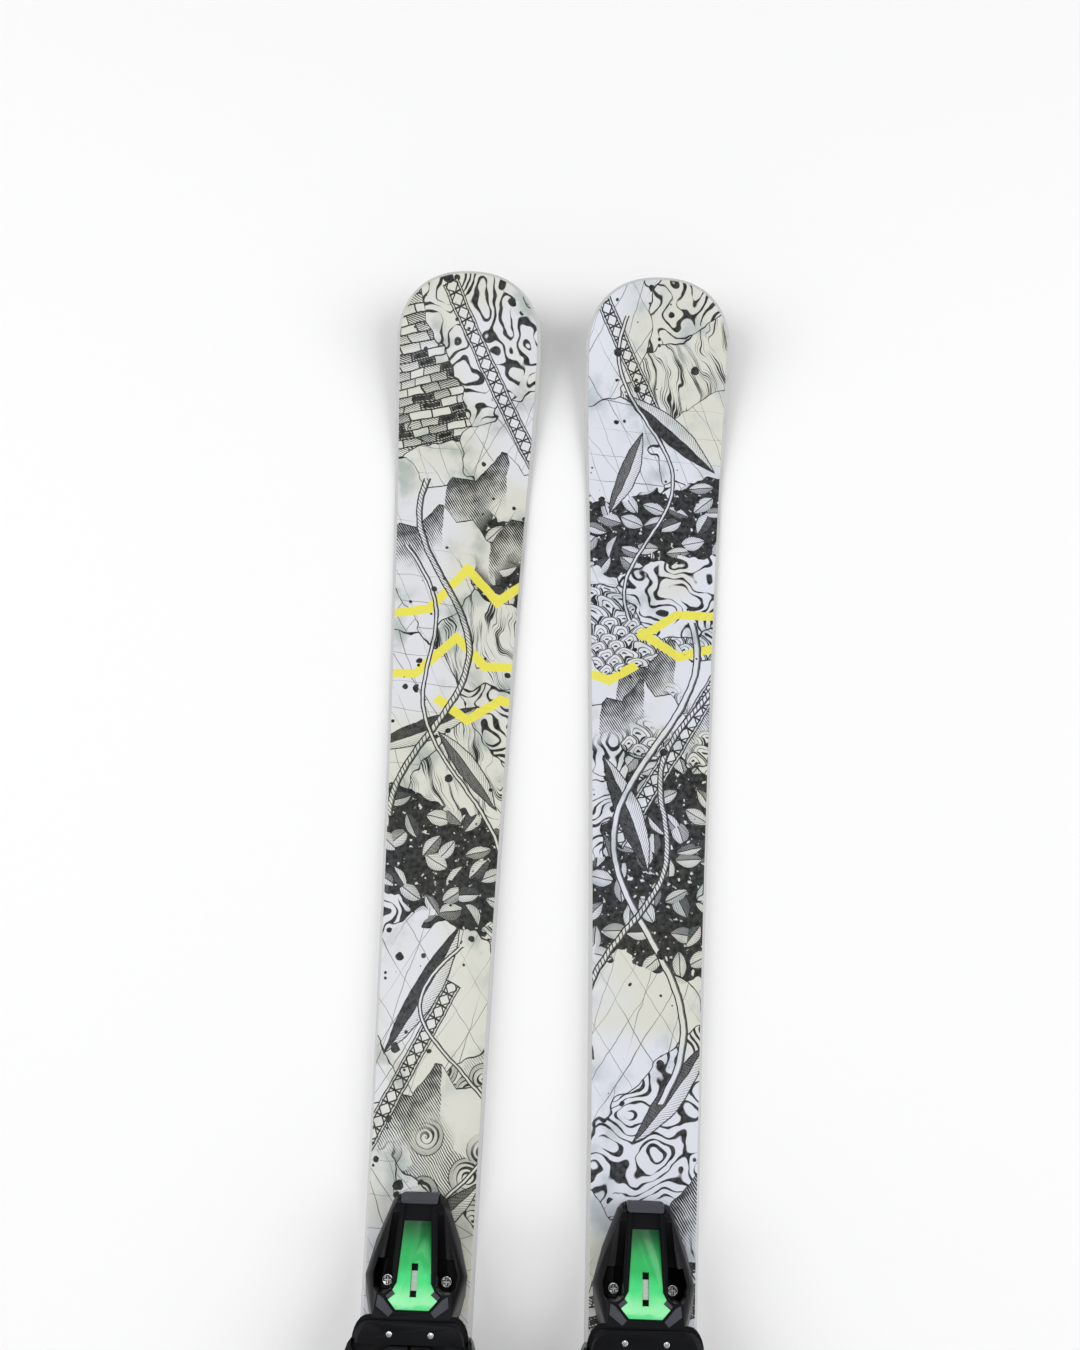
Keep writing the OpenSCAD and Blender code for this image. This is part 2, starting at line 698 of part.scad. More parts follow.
// How far down the slope a place ahead of the pins lies
function up_top(y) = (y - toe_front_y)/cos(toe_slope);

// Half outlines on that plane. The window's seat also takes a small plate in the notch of each flare.
window_front = [window_front_w/2, window_front_y];
window_bend = [window_w/2, window_bend_y];
notch = [window_w/2 + notch_out, notch_y];
flare = [window_flare_w/2, flare_y];
window_back = [window_back_w/2, window_back_y];
flare_way = (flare - window_back)/norm(flare - window_back);
corner = flare + corner_len*flare_way;
seat_half = [window_front, window_bend, notch, corner, window_back];
window_half = [window_front, window_bend, notch, notch + flare - corner, flare, window_back];
function on_slope(half) = whole([for (p = half) [p.x, up_top(p.y)]]);

// The open channel between the nose and the window, and the ridge on each side of them
module channel_outline() polygon(whole([
    [window_front_w/2 + slide_fit, cut], [window_front_w/2 + slide_fit, up_top(window_front_y)]]));
module ridge_outline() polygon([
    [window_front_w/2 + ridge_gap, -cut], [window_front_w/2 + ridge_gap + ridge_w, -cut],
    [window_w/2 + ridge_gap + ridge_w, up_top(window_bend_y)],
    [window_w/2 + ridge_gap, up_top(window_bend_y)]]);

module slot_outline() translate([-slot_w/2, up_top(slot_mid_y) - slot_len/2]) square([slot_w, slot_len]);

module toe_window() color("#3fae6a") at_toe() on_top(-window_t) difference() {
    linear_extrude(window_t) polygon(on_slope(window_half));
    translate([0, 0, -cut]) linear_extrude(window_t + 2*cut) slot_outline();
}

// Grey plates: one let into the top beside each back corner of the window, one in each notch of the window
beside = trim_gap*[flare_way.y, -flare_way.x];
trim_front_y = corner.y + beside.y + trim_gap;
trim_side_y = (trim_front_y + toe_back_y)/2;
trim_half = [
    corner + beside, [top_half(trim_front_y) - trim_margin, trim_front_y],
    [top_half(trim_side_y) - trim_margin, trim_side_y],
    [window_back.x + beside.x + trim_tip, toe_back_y + trim_gap/3], window_back + beside
];
notch_half = [notch, corner, flare, notch + flare - corner];
module trim_outline() both() polygon([for (p = trim_half) [p.x, up_top(p.y)]]);
module toe_trims() color("#4d4f55") at_toe() {
    on_top(-trim_t + slide_fit/2) linear_extrude(trim_t) trim_outline();
    on_top(-window_t) linear_extrude(window_t) both() offset(delta = -slide_fit/2)
        polygon([for (p = notch_half) [p.x, up_top(p.y)]]);
}

module toe_indicator() color("#e9e9e6") at_toe() on_top(-window_t - indicator_t - slide_fit/2)
    translate([-(slot_w - slide_fit)/2, up_top(slot_mid_y) - indicator_len/2, 0])
    cube([slot_w - slide_fit, indicator_len, indicator_t]);

module toe_nose_cap() color("#4a4e53") at_toe() difference() {
    across(nose_w) polygon([
        [toe_front_y, plate_t], [toe_len, plate_t], [toe_len, nose_h - 2*nose_bevel],
        [toe_len - nose_bevel, nose_h], [toe_front_y, nose_h]]);
    along_y(tunnel_r, toe_front_y - cut, toe_len + cut, toe_spring_h);
}

// A screw along y whose head ends at y = 0 and whose thread runs to y = -length
module release_screw(length) difference() {
    union() {
        along_y(release_head_r, -release_head_h, 0, 0);
        along_y(release_r, -length, -release_head_h, 0);
    }
    rotate([-90, 0, 0]) cross_recess(release_head_r);
}
module toe_release_screw() color("#b9bcc0") at_toe() translate([0, toe_head_y, toe_spring_h])
    release_screw(toe_head_y - toe_tunnel_back - release_end);

module toe_spring() color("#8d9196") at_toe() translate([0, 0, toe_spring_h])
    coil(spring_r - spring_wire/2, spring_wire, toe_tunnel_back + slide_fit, toe_spring_len, 8);

// Plan of the right wing from its pin: x outwards, y to the front
function boot_toe(x) = sqrt(pow(boot_toe_r, 2) - x*x) - boot_toe_r - toe_cup;
jaw_gap = cover_back + free_fit;
jaw_clear_r = cover_r + free_fit;
jaw_corner_s = sqrt(pow(jaw_clear_r, 2) - pow(jaw_gap, 2));
jaw_corner_a = -wing_open - asin(jaw_gap/jaw_clear_r);
jaw_front_a = -5;
wing_gap = 1.2;
grip_x = boot_toe_r*0.82;
jaw_steps = 6;
jaw_out_a = 60;
jaw_out_r = [jaw_reach/2, -boot_toe(grip_x)/2/sin(jaw_out_a)];
function polar(r, a) = r*[cos(a), sin(a)];
function turn_from(a, b, k) = a + (b - a)*k/jaw_steps;
jaw_round = [for (k = [0:jaw_steps]) polar(jaw_clear_r, turn_from(jaw_corner_a, jaw_front_a, k))];
jaw_outside = [for (k = [0:jaw_steps]) let (a = turn_from(jaw_out_a - 8, -jaw_out_a, k))
    [jaw_out_r.x*(1 + cos(a)), boot_toe(grip_x)/2 + jaw_out_r.y*sin(a)]];
function jaw_inside(reach) = [for (k = [jaw_steps:-1:0]) let (x = turn_from(wing_gap, grip_x, k))
    [x - pin_x, boot_toe(x) + reach]];
function jaw_plan(reach) = concat(
    [[wing_gap - pin_x, -jaw_gap], [-jaw_gap*tan(wing_open/2), -jaw_gap]],
    jaw_round, jaw_outside, jaw_inside(reach));
function arm_plan() = concat(
    [[wing_gap - pin_x, -jaw_gap], [-hub_r, -jaw_gap], [-hub_r, 0], [0, hub_r]],
    [polar(jaw_clear_r, 2*jaw_front_a)], jaw_outside, jaw_inside(free_fit));

// One wing of the toe cup, which turns on its pin and grips the side of the boot's toe
module wing() translate([pin_x, 0, 0]) difference() {
    union() {
        translate([0, 0, wing_foot]) cylinder(r = hub_r, h = arm_top - wing_foot);
        translate([0, 0, wing_foot]) linear_extrude(arm_top - wing_foot) polygon(arm_plan());
        translate([0, 0, wing_foot]) linear_extrude(jaw_top - wing_foot) polygon(jaw_plan(free_fit));
        translate([0, 0, lip_z]) linear_extrude(wing_lip_t) polygon(jaw_plan(-wing_lip));
    }
    translate([0, 0, -cut]) cylinder(r = pin_r + run_fit, h = jaw_top + 2*cut);
}
module toe_wing_right() color("#1b1c1f") at_toe() wing();
module toe_wing_left() color("#1b1c1f") at_toe() mirror([1, 0, 0]) wing();

module toe_wing_pins() color("#c4c6c9") at_toe() both() translate([pin_x, 0, pin_foot]) {
    cylinder(r = pin_r, h = jaw_top - pin_foot);
    translate([0, 0, jaw_top - pin_foot]) cylinder(r = pin_r + pin_rim, h = pin_head_h);
}

module sliding_pad() color("#2a2c30") at_toe() across(pad_w) difference() {
    translate([-pad_back - pad_len/2, pad_foot]) square([pad_len, stand_h - pad_foot]);
    guide_section(slide_fit);
}

// Section of the heel rail, grown by a clearance
module rail_section(grow) polygon(whole([
    [rail_neck/2 + grow, track_t - 2*grow], [rail_neck/2 + grow, rail_flange_z - grow],
    [rail_w/2 + grow, rail_flange_z - grow], [rail_w/2 + grow, rail_top + grow]]));
module along_rail(y0, y1) translate([0, y1, 0]) rotate([90, 0, 0]) linear_extrude(y1 - y0) children();

// The track with its rail, whose top has a rack and a trough for the length screw
module heel_track() color("#3a3c40") at_heel() difference() {
    union() {
        block([-track_w/2, track_back, 0], [track_w/2, track_front, track_t]);
        along_rail(track_back, rail_front) rail_section(0);
    }
    both() for (y = track_screw_ys) translate([track_screw_x, y, -cut]) {
        cylinder(r = screw_r + run_fit, h = track_t + 2*cut);
        translate([0, 0, track_t - sink_h + cut])
            cylinder(r1 = screw_r + run_fit, r2 = head_r + run_fit, h = sink_h);
    }
    along_y(worm_head_r + slide_fit, track_back - cut, rail_front + cut, worm_z);
    for (y = [track_back + rack_pitch:rack_pitch:rail_front - rack_pitch])
        block([-rack_w/2, y, rail_top - rack_h], [rack_w/2, y + rack_slot, rail_top + cut]);
}

// The carriage that slides on the rail: base block, ears for the cup axle,
// spring housing and the two cheeks that carry the brake
module heel_carriage() color("#17181b") at_heel() difference() {
    union() {
        block([-carriage_w/2, carriage_back, carriage_foot], [carriage_w/2, carriage_front, carriage_h]);
        both() {
            along_x(ear_r, ear_in, ear_in + ear_t, -axle_back, axle_h);
            block([ear_in, -axle_back - ear_r, carriage_h - cut],
                [ear_in + ear_t, ear_r - axle_back, axle_h]);
            block([cheek_in, carriage_front - cheek_root, carriage_foot],
                [cheek_out, cheek_tip, carriage_h]);
            block([cheek_in, cup_front + 2*free_fit, carriage_foot], [cheek_out, cheek_tip, cheek_top]);
        }
        intersection() {
            across(heel_w) polygon([
                [carriage_back, carriage_h - cut], [carriage_back, heel_h - heel_bevel],
                [carriage_back + heel_bevel, heel_h], [heel_front - heel_bevel/2, heel_h],
                [heel_front, heel_h - heel_bevel], [heel_front, carriage_h - cut]]);
            along_rail(carriage_back, heel_front) polygon(whole([
                [heel_w/2, carriage_h - cut], [heel_w/2, heel_h - heel_bevel],
                [heel_w/2 - heel_bevel, heel_h]]));
        }
    }
    along_rail(carriage_back - cut, carriage_front + cut) rail_section(slide_fit);
    along_x(axle_d/2 + run_fit, -carriage_w, carriage_w, -axle_back, axle_h);
    along_x(wire_r + run_fit, -carriage_w, carriage_w, brake_fore, brake_h);
    along_y(tunnel_r, carriage_back - cut, heel_tunnel_front, heel_spring_h);
    along_y(worm_r + run_fit, carriage_back - cut, heel_front, worm_z);
    along_y(worm_head_r + run_fit, carriage_back - cut, carriage_back + worm_head_h, worm_z);
    heel_slot(slide_fit);
}
// Slot on top of the heel housing that shows the heel's indicator
heel_mid = (carriage_back + heel_front)/2;
module heel_slot(grow) block([-slot_w/2, heel_mid - slot_len/2, heel_h - indicator_t - grow],
    [slot_w/2, heel_mid + slot_len/2, heel_h + cut]);

module heel_indicator() color("#e9e9e6") at_heel()
    block([-(slot_w - slide_fit)/2, heel_mid - indicator_len/2, heel_h - indicator_t],
        [(slot_w - slide_fit)/2, heel_mid + indicator_len/2, heel_h - slide_fit]);

// The cup that holds the boot's heel down, with its lip above and its step below
module heel_cup() color("#1b1c1f") at_heel() difference() {
    union() {
        along_x(cup_hub_r, -cup_in_w/2, cup_in_w/2, -axle_back, axle_h);
        across(cup_in_w) polygon([
            [-axle_back, axle_h - cup_hub_r], [cup_back + cut, cup_foot], [cup_back + cut, cup_top],
            [lever_y + 2, cup_top], [lever_y - lever_hub_r, cup_top - 3],
            [-axle_back - cup_hub_r, axle_h + 4], [-axle_back - cup_hub_r, axle_h]]);
        intersection() {
            translate([0, 0, cup_foot]) linear_extrude(cup_top - cup_foot) polygon(whole([
                [cup_w/2 - cup_bevel/2, cup_front], [cup_w/2, cup_front - cup_bevel],
                [cup_w/2, cup_back + cup_bevel], [cup_w/2 - cup_bevel, cup_back]]));
            along_rail(cup_back, cup_front) polygon(whole([
                [cup_w/2, cup_foot], [cup_w/2, cup_top - 1.5*cup_bevel], [cup_w/2 - cup_bevel, cup_top]]));
            across(cup_w) polygon([
                [cup_back, cup_foot], [cup_front - cup_bevel/2, cup_foot],
                [cup_front, cup_foot + cup_bevel], [cup_front, cup_top - cup_bevel],
                [cup_front - cup_bevel, cup_top], [cup_back, cup_top]]);
        }
    }
    translate([0, boot_heel_r, step_z]) cylinder(r = boot_heel_r + free_fit, h = cup_lip_z - step_z);
    translate([0, boot_heel_r, cup_lip_z - cut]) cylinder(r = boot_heel_r - cup_lip, h = 2*cup_top);
    along_x(axle_d/2 + run_fit, -cup_w, cup_w, -axle_back, axle_h);
    both() along_x(lever_pin_r + run_fit, cup_in_w/2 - lever_t - run_fit, cup_w, lever_y, lever_z);
}

// The opening lever: two arms on stub pins in the cup, joined by a handle
// whose top has a hollow across it for the pole's tip
module heel_lever() color("#26282c") at_heel() {
    both() along_x(lever_pin_r, cup_in_w/2 - lever_t, lever_in + cut, lever_y, lever_z);
    both() along_x(lever_hub_r, lever_in - hub_rim, lever_in + lever_t + hub_rim, lever_y, lever_z);
    translate([0, lever_y, lever_z]) rotate([-lever_tilt, 0, 0]) difference() {
        across(2*(lever_in + lever_t)) polygon([
            [0, arm_h/2], [-lever_len/2, arm_h/2], [handle_len/2 - lever_len, handle_h/2],
            [-lever_len, 0], [-lever_len, -handle_h/2], [handle_len - lever_len, -handle_h/2],
            [0, -arm_h/2]]);
        block([-lever_in, handle_len - lever_len, -arm_h], [lever_in, arm_h, arm_h]);
        along_x(scoop_r, -cup_w, cup_w, handle_len*0.6 - lever_len, handle_h/2 + scoop_r - scoop_t);
    }
}

module heel_axle() color("#b9bcc0") at_heel()
    along_x(axle_d/2, -ear_in - ear_t, ear_in + ear_t, -axle_back, axle_h);

module heel_spring() color("#8d9196") at_heel() translate([0, 0, heel_spring_h])
    coil(spring_r - spring_wire/2, spring_wire, carriage_back + release_head_h + slide_fit,
        heel_spring_len, 4);

module heel_release_screw() color("#b9bcc0") at_heel() translate([0, carriage_back, heel_spring_h])
    mirror([0, 1, 0]) release_screw(heel_tunnel_front - carriage_back - release_end);

module heel_length_screw() color("#b9bcc0") at_heel() difference() {
    union() {
        along_y(worm_r, carriage_back + worm_head_h - cut, heel_front - worm_end, worm_z);
        along_y(worm_head_r, carriage_back, carriage_back + worm_head_h - run_fit, worm_z);
    }
    translate([0, carriage_back, worm_z]) rotate([90, 0, 0]) cross_recess(worm_head_r);
}

// Two bent steel wires that turn in the cheeks and run back beside the ski
module brake_arms() color("#a4a7ab") at_heel() both() {
    along_x(wire_r, arm_in, brake_x, brake_fore, brake_h);
    translate([brake_x, brake_fore, brake_h]) sphere(r = wire_r);
    translate([brake_x, 0, 0]) along_y(wire_r, brake_fore - brake_len + foot_len/2, brake_fore, brake_h);
}

module brake_feet() color("#1b1c1f") at_heel() both()
    translate([brake_x, brake_fore - brake_len, brake_h]) difference() {
        across(foot_w) polygon([
            [0, -foot_h/4], [0, foot_h/6], [foot_len*0.4, foot_h/2], [foot_len, foot_h/3],
            [foot_len, -foot_h/3], [foot_len*0.4, -foot_h/2]]);
        along_y(wire_r + run_fit, foot_len/2 - run_fit, foot_len + cut, 0);
    }

module brake_pedal() color("#232528") at_heel() difference() {
    union() {
        along_x(pedal_hub_r, -pedal_w/2, pedal_w/2, brake_fore, brake_h);
        block([-pedal_w/2, brake_fore, pedal_top - pedal_t],
            [pedal_w/2, brake_fore + pedal_len, pedal_top]);
    }
    both() along_x(wire_r + run_fit, arm_in - run_fit, pedal_w, brake_fore, brake_h);
}

// All the screws that hold the toe piece and the heel track on the ski
module binding_screws() color("#c4c6c9") translate([0, 0, deck_z]) {
    for (p = concat(toe_spots, pad_spots)) translate([p.x, p.y, 0]) difference() {
        union() {
            translate([0, 0, -screw_bite]) cylinder(r = screw_r, h = screw_bite + plate_t + cut);
            translate([0, 0, plate_t]) cylinder(r = head_r, h = screw_head_h);
        }
        translate([0, 0, plate_t + screw_head_h]) cross_recess(head_r);
    }
    for (p = track_spots) translate([p.x, p.y, 0]) difference() {
        union() {
            translate([0, 0, -screw_bite]) cylinder(r = screw_r, h = screw_bite + track_t);
            translate([0, 0, track_t - sink_h]) cylinder(r1 = screw_r, r2 = head_r, h = sink_h);
        }
        translate([0, 0, track_t]) cross_recess(head_r);
    }
}

for (side = SIDES) on_ski(side) {
    base_sheet();
    steel_edges();
    core();
    sidewalls();
    topsheet();
    toe_base_plate();
    toe_housing();
    toe_nose_cap();
    toe_window();
    toe_trims();
    toe_indicator();
    toe_release_screw();
    toe_spring();
    toe_wing_left();
    toe_wing_right();
    toe_wing_pins();
    sliding_pad();
    heel_track();
    heel_carriage();
    heel_cup();
    heel_lever();
    heel_axle();
    heel_spring();
    heel_release_screw();
    heel_indicator();
    heel_length_screw();
    brake_arms();
    brake_feet();
    brake_pedal();
    binding_screws();
}
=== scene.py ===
import json
import math

import bmesh
import bpy
import numpy as np
from mathutils import Matrix, Vector
from mathutils.bvhtree import BVHTree
from mathutils.geometry import intersect_point_line

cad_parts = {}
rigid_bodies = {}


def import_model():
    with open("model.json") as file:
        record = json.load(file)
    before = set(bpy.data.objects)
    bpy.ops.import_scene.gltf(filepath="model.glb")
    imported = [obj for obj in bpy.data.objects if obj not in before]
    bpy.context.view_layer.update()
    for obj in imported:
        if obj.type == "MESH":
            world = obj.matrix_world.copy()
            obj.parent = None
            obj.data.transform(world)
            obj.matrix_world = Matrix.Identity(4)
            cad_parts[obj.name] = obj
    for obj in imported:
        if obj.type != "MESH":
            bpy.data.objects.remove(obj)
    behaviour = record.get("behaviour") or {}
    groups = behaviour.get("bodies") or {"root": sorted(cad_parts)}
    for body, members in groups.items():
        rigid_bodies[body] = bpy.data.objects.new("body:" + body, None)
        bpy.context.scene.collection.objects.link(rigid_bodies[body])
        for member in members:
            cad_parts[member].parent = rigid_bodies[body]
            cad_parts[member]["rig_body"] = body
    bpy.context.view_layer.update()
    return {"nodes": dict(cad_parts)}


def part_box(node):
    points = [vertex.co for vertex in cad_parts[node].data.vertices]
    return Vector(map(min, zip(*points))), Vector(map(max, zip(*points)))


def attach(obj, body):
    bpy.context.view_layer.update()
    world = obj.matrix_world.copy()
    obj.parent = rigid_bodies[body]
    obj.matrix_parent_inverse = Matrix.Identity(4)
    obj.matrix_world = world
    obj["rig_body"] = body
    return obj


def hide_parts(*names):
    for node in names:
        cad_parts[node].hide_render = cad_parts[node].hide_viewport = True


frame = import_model()

# The running base: a sheet of black polyethylene, ground with a fine lengthwise structure and
# glued under the core, inside the steel edges. Every layer of the ski follows its outline and bend.
SIDES = ("left", "right")
ski_x = {side: sum(corner.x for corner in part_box(side + "_steel_edges"))/2 for side in SIDES}
tail_y, tip_y = (corner.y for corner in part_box("left_steel_edges"))
tip_w, waist_w, tail_w = 0.1228, 0.080, 0.112
waist_y = -0.077
tip_round, tail_round = 0.057, 0.052
shoulder_len = 0.028
round_power = 2.344
corner_blend = 0.003
tip_rise, tip_run = 0.052, 0.190
tail_rise, tail_run = 0.034, 0.130
mid_t, end_t = 0.012, 0.0052
deck_margin = 0.018
base_t, edge_w, edge_h, glue_t = 0.0014, 0.0022, 0.002, 0.0001
base_bevel = 0.0002
weld_gap, crease_angle = 1e-6, 35
tip_c, tail_c = tip_y - tip_round, tail_y + tail_round
front_r = (tip_c - shoulder_len - waist_y)**2/(tip_w - waist_w)
rear_r = (waist_y - tail_c - shoulder_len)**2/(tail_w - waist_w)
deck_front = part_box("left_toe_nose_cap")[1].y + deck_margin
deck_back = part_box("left_heel_track")[0].y - deck_margin


def ski_half(y):
    """Half the width at y: the lesser of a parabolic side cut and a superellipse round the end,
    with the corner where they meet eased over a short blend."""
    front = y > waist_y
    side = waist_w/2 + (y - waist_y)**2/(2*np.where(front, front_r, rear_r))
    past = np.clip(np.where(front, (y - tip_c)/tip_round, (tail_c - y)/tail_round), 0, 1)
    end = np.where(front, tip_w, tail_w)/2*(1 - past**round_power)**(1/round_power)
    near = np.clip(corner_blend - abs(side - end), 0, None)/corner_blend
    return np.minimum(side, end) - near**2*corner_blend/4


def base_height(y):
    """Height of the base at y: flat, then up a circular arc at each end."""
    total = 0
    for past, rise, run in ((y - tip_y + tip_run, tip_rise, tip_run),
                            (tail_y + tail_run - y, tail_rise, tail_run)):
        radius = (run**2 + rise**2)/(2*rise)
        total = total + radius - np.sqrt(radius**2 - np.clip(past, 0, None)**2)
    return total


def ski_thick(y):
    """Thickness at y: even under the binding, thinning by a smooth step to the start of each end's bend."""
    fore = (y - deck_front)/(tip_y - tip_run - deck_front)
    aft = (deck_back - y)/(deck_back - tail_y - tail_run)
    part = np.clip(np.where(y > 0, fore, aft), 0, 1)
    return end_t + (mid_t - end_t)*(1 - part**2*(3 - 2*part))


end_steps, mid_steps = 40, 300
flat_shares = (0, 0.35, 0.7)
end_turn = np.sin(np.linspace(0, math.pi/2, end_steps))**(2/round_power)
rim_y = np.concatenate([
    tail_c - tail_round*end_turn[::-1],
    np.linspace(tail_c, tip_c, mid_steps)[1:-1],
    tip_c + tip_round*end_turn])
rim_x = ski_half(rim_y)
run_x, run_y = np.gradient(rim_x), np.gradient(rim_y)
run_x[[0, -1]], run_y[[0, -1]] = (1, -1), (0, 0)
run_len = np.hypot(run_x, run_y)
out_x, out_y = run_y/run_len, -run_x/run_len


def carried(section, low, high):
    """A section carried along the ski. A row of the section holds a share of the half width, an inset
    from the rim, a share of the way up from the low to the high surface, and a rise above that."""
    share, inset, up, rise = np.array(section, float).T
    x = share*(rim_x[:, None] - inset*out_x[:, None])
    y = rim_y[:, None] - inset*out_y[:, None]
    z = low(y)*(1 - up) + high(y)*up + rise
    return np.stack([x, y, z], axis=-1)


def sheet_loop(inset, bevel):
    """The closed section of a flat sheet with a rounded upper and lower rim. Its right half runs from the
    middle below to the middle above, and its left half mirrors that."""
    arc = np.linspace(0, math.pi/2, 4)
    below = [(share, inset + bevel, 0, 0) for share in flat_shares]
    lower = [(1, inset + bevel*(1 - math.sin(a)), 0, bevel*(1 - math.cos(a))) for a in arc]
    upper = [(1, inset + bevel*(1 - math.cos(a)), 1, bevel*(math.sin(a) - 1)) for a in arc]
    above = [(share, inset + bevel, 1, 0) for share in flat_shares[::-1]]
    half = below + lower + upper + above
    return half + [(-row[0], *row[1:]) for row in half[-2:0:-1]]


def skin(name, points, endless=False):
    """A piece of quads over a grid of points, or over several grids. Each row of it is a closed section,
    and in an endless one the last row meets the first. Points that fall together become one."""
    rows, columns = points.shape[-3:-1]
    index = np.arange(points.size//3).reshape(-1, rows, columns)
    if endless:
        index = np.concatenate([index, index[:, :1]], axis=1)
    index = np.concatenate([index, index[:, :, :1]], axis=2)
    quads = np.stack([index[:, :-1, :-1], index[:, 1:, :-1], index[:, 1:, 1:], index[:, :-1, 1:]], axis=-1)
    mesh = bpy.data.meshes.new(name)
    mesh.from_pydata(points.reshape(-1, 3).tolist(), [], quads.reshape(-1, 4).tolist())
    shell = bmesh.new()
    shell.from_mesh(mesh)
    bmesh.ops.remove_doubles(shell, verts=shell.verts, dist=weld_gap)
    bmesh.ops.dissolve_degenerate(shell, edges=shell.edges, dist=weld_gap/10)
    bmesh.ops.recalc_face_normals(shell, faces=shell.faces)
    shell.to_mesh(mesh)
    shell.free()
    mesh.shade_smooth()
    mesh.set_sharp_from_angle(angle=math.radians(crease_angle))
    piece = bpy.data.objects.new(name, mesh)
    bpy.context.scene.collection.objects.link(piece)
    return piece


def stand_for(piece, node, material):
    """The piece takes the node's place, rides on the node's body and takes the given finish."""
    piece.data.materials.clear()
    piece.data.materials.append(material)
    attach(piece, frame["nodes"][node]["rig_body"])
    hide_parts(node)


class Wire:
    """A shader socket in Python arithmetic: each operator on it adds one Math node."""

    def __init__(self, socket):
        self.socket = socket

    def make(self, kind, inputs, out=0, **settings):
        """Adds a node of a kind, with its settings first and then its inputs, and returns one output."""
        tree = self.socket.id_data
        node = tree.nodes.new("ShaderNode" + kind)
        for setting, value in settings.items():
            setattr(node, setting, value)
        for key, value in inputs.items():
            if isinstance(value, Wire):
                tree.links.new(value.socket, node.inputs[key])
            else:
                node.inputs[key].default_value = value
        return Wire(node.outputs[out])

    def beside(self, out):
        """Another output of the same node."""
        return Wire(self.socket.node.outputs[out])

    def math(self, operation, *others):
        return self.make("Math", dict(enumerate((self, *others))), operation=operation)

    def __add__(self, other):
        return self.math("ADD", other)

    __radd__ = __add__

    def __sub__(self, other):
        return self.math("SUBTRACT", other)

    def __rsub__(self, other):
        return self.make("Math", {0: other, 1: self}, operation="SUBTRACT")

    def __mul__(self, other):
        return self.math("MULTIPLY", other)

    __rmul__ = __mul__

    def __truediv__(self, other):
        return self.math("DIVIDE", other)

    def __abs__(self):
        return self.math("ABSOLUTE")

    def __lt__(self, other):
        return self.math("LESS_THAN", other)

    def __gt__(self, other):
        return self.math("GREATER_THAN", other)

    def clamped(self):
        return self.make("Clamp", {"Value": self})


def rising(x, low, high):
    """0 below low and 1 above high, with a smooth step between."""
    return x.make("MapRange", {"Value": x, 1: low, 2: high}, interpolation_type="SMOOTHSTEP")


def spot(x, y, z=0.0):
    """A place from its two or three coordinates."""
    return x.make("CombineXYZ", {0: x, 1: y, 2: z})


def cloud(place, size, detail=2.0, flat="3D"):
    """Soft noise from 0 to 1 whose features are about the given size."""
    return place.make("TexNoise", {"Vector": place, "Scale": 1/size, "Detail": detail}, noise_dimensions=flat)


def tint(below, above, share):
    """One colour laid over another by a share."""
    return share.make("Mix", {0: share, 6: below, 7: above}, out=2, data_type="RGBA")


def paint(red, green, blue):
    """A colour for a shader from the screen values of its red, green and blue, by the standard curve."""
    return tuple(((c/255 + 0.055)/1.055)**2.4 if c > 10 else c/255/12.92 for c in (red, green, blue)) + (1,)


def new_finish(name, **fixed):
    """A material with its even inputs set. Gives it, its shader and the place on the part in millimetres."""
    material = bpy.data.materials.new(name)
    material.use_nodes = True
    shader = material.node_tree.nodes["Principled BSDF"]
    for key, value in fixed.items():
        shader.inputs[key.replace("_", " ")].default_value = value
    metres = Wire(material.node_tree.nodes.new("ShaderNodeTexCoord").outputs["Object"])
    place = metres.make("VectorMath", {0: metres, "Scale": 1000.0}, operation="SCALE")
    return material, shader, place


def feed(shader, height=None, relief=0.0, **wires):
    """Links what varies over the surface to the shader, with a height in millimetres as its bump."""
    tree = shader.id_data
    for key, wire in wires.items():
        tree.links.new(wire.socket, shader.inputs[key.replace("_", " ")])
    if height:
        bump = height.make("Bump", {"Strength": 1.0, "Distance": relief*0.001, "Height": height})
        tree.links.new(bump.socket, shader.inputs["Normal"])


def axes(place):
    """The three coordinates of a place."""
    x = place.make("SeparateXYZ", {0: place})
    return x, x.beside(1), x.beside(2)


def base_finish():
    """Black polyethylene: faint grey clouds, and a fine ground structure of lines along the ski."""
    material, shader, place = new_finish("running_base", Specular_IOR_Level=0.4)
    x, y, _ = axes(place)
    grind = cloud(spot(x*6, y*0.02), 1.0, detail=3)
    mottle = cloud(place, 30)
    feed(shader, height=grind, relief=0.05, Roughness=0.3 + grind*0.25,
         Base_Color=tint(paint(17, 18, 21), paint(34, 36, 40), mottle*0.6 + grind*0.4))
    return material


base_material = base_finish()
for side in SIDES:
    loop = sheet_loop(edge_w + glue_t, base_bevel)
    grid = carried(loop, base_height, lambda y: base_height(y) + base_t)
    sole = skin(side + "_base", grid + (ski_x[side], 0, 0))
    stand_for(sole, side + "_base_sheet", base_material)

# The steel edges: hardened strips bent along the sides and round both ends of the base, flush with it
# below, and ground square at their outer corner so that they bite.
edge_bevel = 0.00018


def rim_ring(section, low, high):
    """A closed section carried right round the rim: up the right side and back down the left."""
    right = carried([(1, *row) for row in section], low, high)
    return np.concatenate([right, right[-2:0:-1]*(-1, 1, 1)])


def edge_finish():
    """Ground steel: fine lines along the edge, a little dulling and a few darker specks."""
    material, shader, place = new_finish("edge_steel", Metallic=1.0)
    x, y, z = axes(place)
    grind = cloud(spot(x*2, y*0.04, z*7), 1.0, detail=3)
    specks = rising(cloud(place, 2.5, detail=3), 0.62, 0.75)
    feed(shader, height=grind, relief=0.03, Roughness=0.24 + grind*0.22 + specks*0.2,
         Base_Color=tint(paint(196, 198, 200), paint(128, 120, 112), specks*0.5))
    return material


